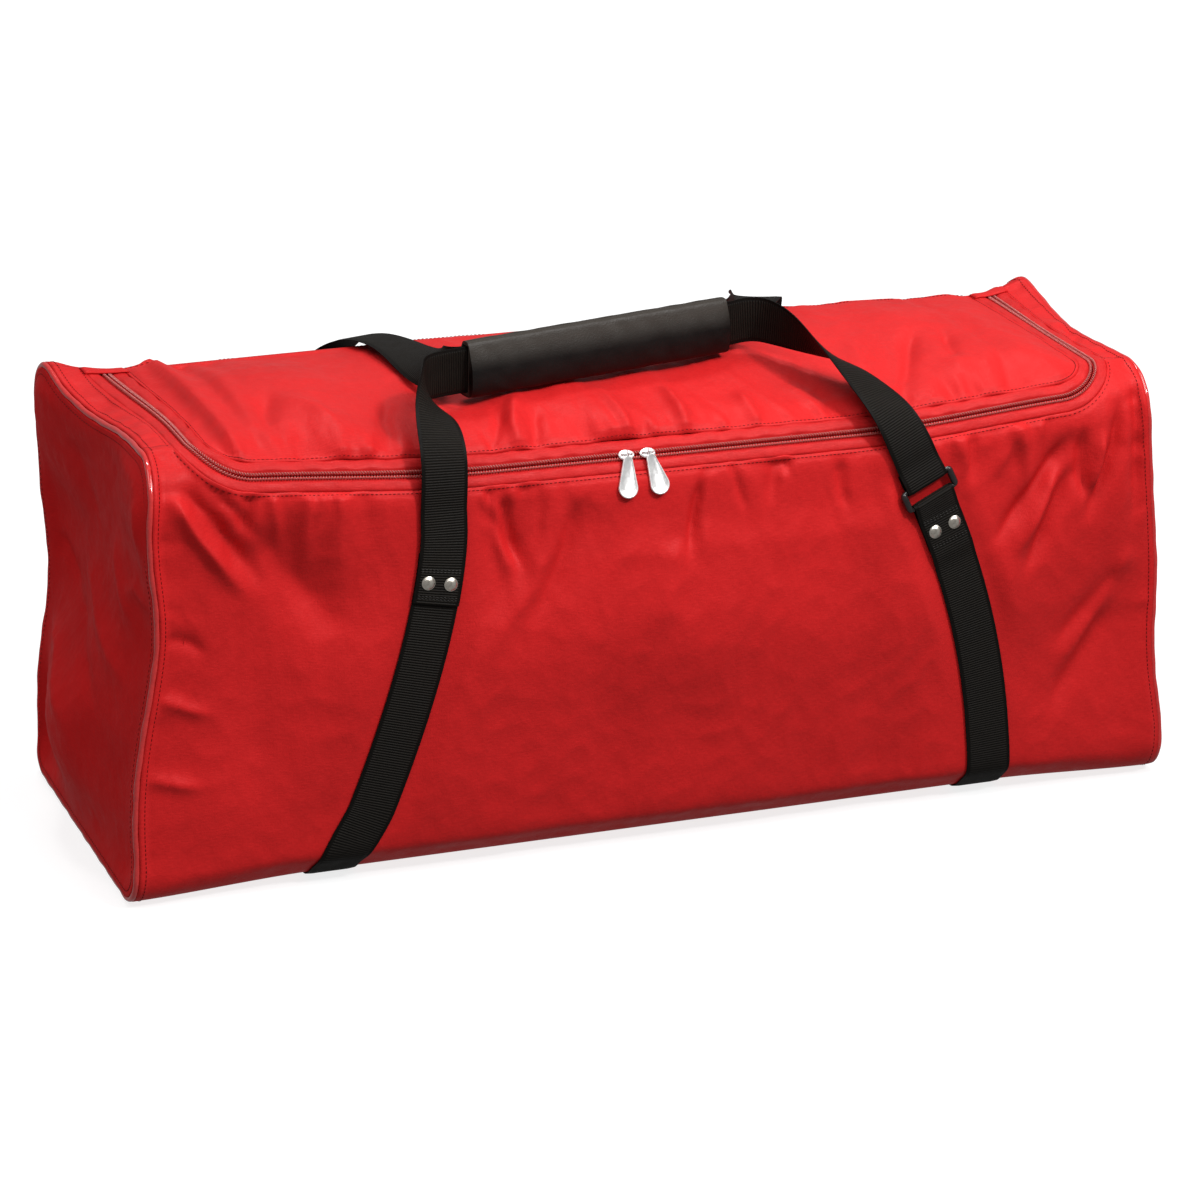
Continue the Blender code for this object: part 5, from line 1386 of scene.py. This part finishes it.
def pull(name, pivot, splay):
    """Teardrop pull that hangs from a slider's loop by its eye. splay turns it sideways."""
    lean_out = math.radians(20)
    down = np.array([0, -math.sin(lean_out), -math.cos(lean_out)])
    face = np.cross([1.0, 0, 0], down)
    turn = np.array(Matrix.Rotation(splay, 3, Vector(face)))
    tag_down, tag_across = turn @ down, turn @ np.array([1.0, 0, 0])
    top_radius, bottom_radius, length = 0.004, 0.0165 / 2, 0.034
    taper = math.asin((bottom_radius - top_radius) / (length - top_radius - bottom_radius))
    outline = []
    for a in np.linspace(-1, 1, 12) * (math.pi / 2 - taper):
        outline.append((top_radius * math.sin(a), top_radius * (1 - math.cos(a))))
    for a in np.linspace(1, -1, 26) * (math.pi / 2 + taper):
        outline.append((bottom_radius * math.sin(a), length - bottom_radius * (1 - math.cos(a))))
    offset = 0.0025 - 0.0006        # from the pivot to the tag's top edge, up into the eye by its wire

    def tag_at(points, level):
        return pivot + tag_across * points[:, :1] + tag_down * (points[:, 1:] + offset) + face * level

    half = 0.0009
    levels = [(0.0022, 0.0005 - half), (0.0014, -half), (0.0005, -half), (0, -half * 0.5), (0, half * 0.5),
              (0.0005, half), (0.0016, half), (0.0024, half - 0.0005)]
    finished(layered(name, outline, levels, tag_at, METAL), name, "bright_metal", name)
    angle = np.linspace(0, 2 * math.pi, 28, endpoint=False)[:, None]
    eye_path = pivot + down * 0.002 * np.cos(angle) + face * 0.002 * np.sin(angle)
    eye = swept(name + "_eye", eye_path, 0.0006, METAL, (1, 0, 0), sides=10, closed=True)
    finished(eye, name, "bright_metal")


# --- Wrap ---------------------------------------------------------------------------------------
def grip_half(name, facing, body, node):
    """One padded side of the wrap: facing 1 is the back, sewn side, and -1 the opening front flap."""
    angle = np.radians(np.linspace(-90, 90, 37))
    c, s = np.cos(angle), np.sin(angle)
    seam_y, slot_top = GAP / 2, WEBBING_WIDTH / 2 + 2 * GAP
    rise = np.copysign(np.abs(s) ** GRIP_SQUARENESS, s)
    narrowed = 1 - 0.46 * smooth(-0.15, 1.0, rise)
    width = np.maximum(np.maximum(np.abs(c) ** GRIP_SQUARENESS * GRIP_DEPTH / 2, seam_y) * narrowed, seam_y)
    outer = np.stack([width, rise * GRIP_HEIGHT / 2], axis=-1)
    inner = np.array([(seam_y, slot_top), (SLOT_HALF, slot_top), (SLOT_HALF, -slot_top), (seam_y, -slot_top)])
    along = np.linspace(-GRIP_LENGTH / 2 - GRIP_OVERHANG, GRIP_LENGTH / 2, 101)
    draw = np.random.default_rng(61 + facing)
    phases = draw.uniform(0, 2 * math.pi, 6)
    middle = (GRIP_LEFT + GRIP_RIGHT) / 2
    to_end = np.minimum(along - along[0], along[-1] - along)
    vertices, uv = [], []
    for place, away in zip(along, to_end):
        creased = sum(np.sin(place * (90 + 40 * k) + s * (1.5 + k) + phases[k]) for k in range(6)) / 6
        press = 1 - 0.1 * math.exp(-away / 0.004) - 0.03 * math.exp(-((abs(place) - 0.055) / 0.01) ** 2)
        depth = np.maximum(outer[:, 0] * press + 0.0004 * creased * np.abs(c) ** 0.4, seam_y)
        height = outer[:, 1] * (0.97 + 0.03 * press) + 0.0003 * creased * s
        section = np.concatenate([np.stack([depth, height], axis=-1), inner])
        for back, up in section:
            vertices.append(middle + GRIP_ALONG * place + GRIP_BACK * back * facing + GRIP_UP * up)
        uv += [(place, run) for run in run_along(section)]
    index = np.arange(len(vertices)).reshape(len(along), -1)
    faces = tube(index) + [index[0].tolist(), index[-1][::-1].tolist()]
    piece = face_out(add_piece(name, vertices, faces, uv, SLEEVE, sharp=48))
    finished(piece, body, "black_vinyl", node)
    return fold_aside(piece)


# --- Stitching ----------------------------------------------------------------------------------
# Sections of a thread dash as (share of its length from the middle, share of its thickness, rise).
DASH = ((-0.5, 0.45, -0.6), (-0.25, 1.0, 0.5), (0.25, 1.0, 0.5), (0.5, 0.45, -0.6))


def stitches(name, lines, finish, body, slot_name, length=0.0026):
    """One mesh of thread dashes. Each line is its points, spaced one stitch apart, and their normals."""
    vertices, faces = [], []
    sides, thick = 5, 0.00028
    angle = np.linspace(0, 2 * math.pi, sides, endpoint=False)
    for points, out in lines:
        points, out = np.asarray(points), unit(np.asarray(out))
        ahead = unit(np.gradient(points, axis=0))
        across = unit(np.cross(ahead, out))
        for place, along, over, side in zip(points, ahead, out, across):
            base = len(vertices)
            section = side * np.cos(angle)[:, None] + over * np.sin(angle)[:, None] * 0.8
            for share, scale, rise in DASH:
                centre = place + along * length * share + over * thick * rise
                vertices += list(centre + section * thick * scale)
            index = base + np.arange(len(DASH) * sides).reshape(len(DASH), sides)
            faces += capped(index)
    vertices = np.array(vertices)
    piece = face_out(add_piece(name, vertices, faces, vertices[:, :2], finish))
    return finished(piece, body, slot_name)


PITCH = 0.0036              # from stitch to stitch
THREAD_LIFT = 0.0002


def seam(x, s):
    """A line of stitches on the cloth."""
    return surface(x, s, THREAD_LIFT), normal(x, s)


def seam_beside_zip(distance):
    """Stitches along the zip at a distance from its middle, positive on the lid."""
    run = np.arange(0.004, ROUTE_RUN[-1] - 0.004, PITCH)
    return seam(*near_zip(run, distance))


def seam_on_end(side, inset):
    """Stitches round an end panel, inset from its outline."""
    loop = end_loop(inset, 300)
    inside = np.linalg.norm(end_loop(SEAM_INSET, 300) - loop, axis=-1)
    points = end_place(side, loop, end_relief(side, loop, inside) + THREAD_LIFT)
    return points, np.broadcast_to([side * 1.0, 0, 0.1], points.shape)


def all_stitches():
    """Beside the zip, along both sides of each piping, behind the lid's seam, and across each strap's end."""
    zip_seam, end_seam = ZIP_BAND + 0.0022, SEAM_INSET + 0.0035
    body_lines = [seam_beside_zip(-zip_seam)]
    for side in (-1, 1):
        along = np.arange(0.006, GIRTH_LENGTH - 0.006, PITCH)
        body_lines += [seam(side * (TOP_HALF - end_seam), along), seam_on_end(side, end_seam)]
    body_lines.append(seam(np.arange(-0.376, 0.376, PITCH), S_HINGE + 0.004))
    stitches("body_seam_stitches", body_lines, SHADE_DARKENED_THREAD, "bag_body", "red_cloth")
    stitches("lid_seam_stitches", [seam_beside_zip(zip_seam)], SHADE_DARKENED_THREAD, "lid", "red_cloth")
    strap_lines = []
    for wall in (FRONT, BACK):
        for lean in (riveted_lean, ring_lean):
            at = s_at(RIVET_Z)
            for s in (at - 0.0135, at - 0.0115, at + 0.0095, at + 0.0115):
                row = wall.rows(lean, [s], SECOND_LAYER + WEBBING / 2 + THREAD_LIFT)[0]
                share = np.linspace(0.1, 0.9, 11)
                points = row[0] + (row[-1] - row[0]) * share[:, None]
                out = wall.spin(wall.out(course(lean, s), s))
                strap_lines.append((wall.spin(points), np.broadcast_to(out, points.shape)))
    stitches("strap_stitches", strap_lines, BLACK_THREAD, "bag_body", "black_webbing", length=0.0024)


# --- Assembly -----------------------------------------------------------------------------------
front_cloth()
back_cloth()
lid_cloth()
base_cloth()
for side_name, side_sign in (("left", -1), ("right", 1)):
    top_strip(side_name + "_top_strip_cloth", side_sign)
    end_cloth(side_name + "_end_cloth", side_sign, side_name + "_end_panel")
    piping(side_name + "_piping_cord", side_sign, side_name + "_piping")
    zip_stop(side_name + "_zip_tab", side_sign, side_name + "_zip_stop")
zip_tape("zip_tape_body_side", -1, "bag_body", "zip_tape_lower")
zip_tape("zip_tape_lid_side", 1, "lid", "zip_tape_upper")
zip_coil("zip_coil_body_side", -1, "bag_body", "zip_coil_lower")
zip_coil("zip_coil_lid_side", 1, "lid", "zip_coil_upper")

girth_strap("left_strap", FRONT, BACK, "left_girth_strap")
girth_strap("right_strap", BACK, FRONT, "right_girth_strap")
handle("front", FRONT, handle_rows(FRONT, FRONT_FIRST_LEAD, inside_grip(-HANDLE_OFFSET), FRONT_LAST_LEAD),
       "front_handle_webbing")
handle("back", BACK, handle_rows(BACK, BACK_FIRST_LEAD, inside_grip(HANDLE_OFFSET)[::-1], BACK_LAST_LEAD),
       "back_handle_webbing")
grip_half("wrap_back_pad", 1, "back_handle", "grip_back")
grip_half("wrap_flap_pad", -1, "grip_flap", "grip_flap")
ring("front_ring", FRONT, "front_ring")
ring("back_ring", BACK, "back_ring")
for end_name, end_wall, end_lean in (
    ("front_handle", FRONT, riveted_lean), ("front_ring", FRONT, ring_lean),
    ("back_handle", BACK, riveted_lean), ("back_ring", BACK, ring_lean),
):
    rivets(end_name, end_wall, end_lean)
slider("left_slider", -1, math.radians(5))
slider("right_slider", 1, math.radians(-14))
all_stitches()

# --- Floor, light and camera --------------------------------------------------------------------
floor_mesh = bpy.data.meshes.new("floor")
floor_mesh.from_pydata([(-9, -9, 0), (9, -9, 0), (9, 9, 0), (-9, 9, 0)], [], [(0, 1, 2, 3)])
floor = put("floor", floor_mesh)
pale = bpy.data.materials.new("pale_floor")
pale.use_nodes = True
pale_shader = pale.node_tree.nodes["Principled BSDF"]
pale_shader.inputs["Base Color"].default_value = (0.3, 0.3, 0.3, 1)
pale_shader.inputs["Roughness"].default_value = 1.0
pale_shader.inputs["Specular IOR Level"].default_value = 0.0
pale_shader.inputs["Emission Color"].default_value = (1, 1, 1, 1)
pale_shader.inputs["Emission Strength"].default_value = 0.8
floor_mesh.materials.append(pale)
floor.visible_diffuse = False
floor.visible_glossy = False

world = bpy.data.worlds.new("studio")
world.use_nodes = True
world.node_tree.nodes["Background"].inputs["Color"].default_value = (1, 1, 1, 1)
world.node_tree.nodes["Background"].inputs["Strength"].default_value = 0.27
bpy.context.scene.world = world
bpy.context.scene.view_settings.view_transform = "Standard"

# Soft suns as (direction they come from, strength, angle in degrees).
SUNS = [
    ((0.4, -0.56, 0.73), 1.6, 7),
    ((0.05, 0.36, 0.93), 1.05, 12),
    ((-0.5, -0.15, 0.85), 0.6, 35),
]
for number, (source, strength, spread_angle) in enumerate(SUNS):
    data = bpy.data.lights.new(f"soft_sun_{number}", "SUN")
    data.energy, data.angle = strength, math.radians(spread_angle)
    put(f"soft_sun_{number}", data).rotation_euler = Vector(source).to_track_quat("Z", "Y").to_euler()

# A softbox over the front edge, which brightens the shoulder more than the foot of the wall.
SOFTBOX_PLACE = Vector((0.25, -0.55, 1.15))
SOFTBOX_TARGET = Vector((0.05, -0.1, 0.36))
softbox = bpy.data.lights.new("softbox", "AREA")
softbox.shape = "RECTANGLE"
softbox.size, softbox.size_y, softbox.energy = 1.3, 0.4, 8.5
softbox_lamp = put("softbox", softbox)
softbox_lamp.location = SOFTBOX_PLACE
softbox_lamp.rotation_euler = (SOFTBOX_TARGET - SOFTBOX_PLACE).to_track_quat("-Z", "Y").to_euler()

CAMERA_AZIMUTH = math.radians(-22.1)
CAMERA_ELEVATION = math.radians(20.3)
CAMERA_ROLL = math.radians(1.56)
CAMERA_DISTANCE = 3.336
CAMERA_TARGET = Vector((-0.006, 0.0, 0.157))
backwards = Vector((
    math.sin(CAMERA_AZIMUTH) * math.cos(CAMERA_ELEVATION),
    -math.cos(CAMERA_AZIMUTH) * math.cos(CAMERA_ELEVATION),
    math.sin(CAMERA_ELEVATION),
))
to_right = Vector((math.cos(CAMERA_AZIMUTH), math.sin(CAMERA_AZIMUTH), 0))
upright = backwards.cross(to_right)
rolled_right = to_right * math.cos(CAMERA_ROLL) + upright * math.sin(CAMERA_ROLL)
rolled_up = upright * math.cos(CAMERA_ROLL) - to_right * math.sin(CAMERA_ROLL)
lens = bpy.data.cameras.new("camera")
lens.sensor_width = 36
lens.lens = 118.8
camera = put("camera", lens)
camera.matrix_world = Matrix.Translation(CAMERA_TARGET + backwards * CAMERA_DISTANCE) @ Matrix(
    (rolled_right, rolled_up, backwards)
).transposed().to_4x4()
bpy.context.scene.camera = camera
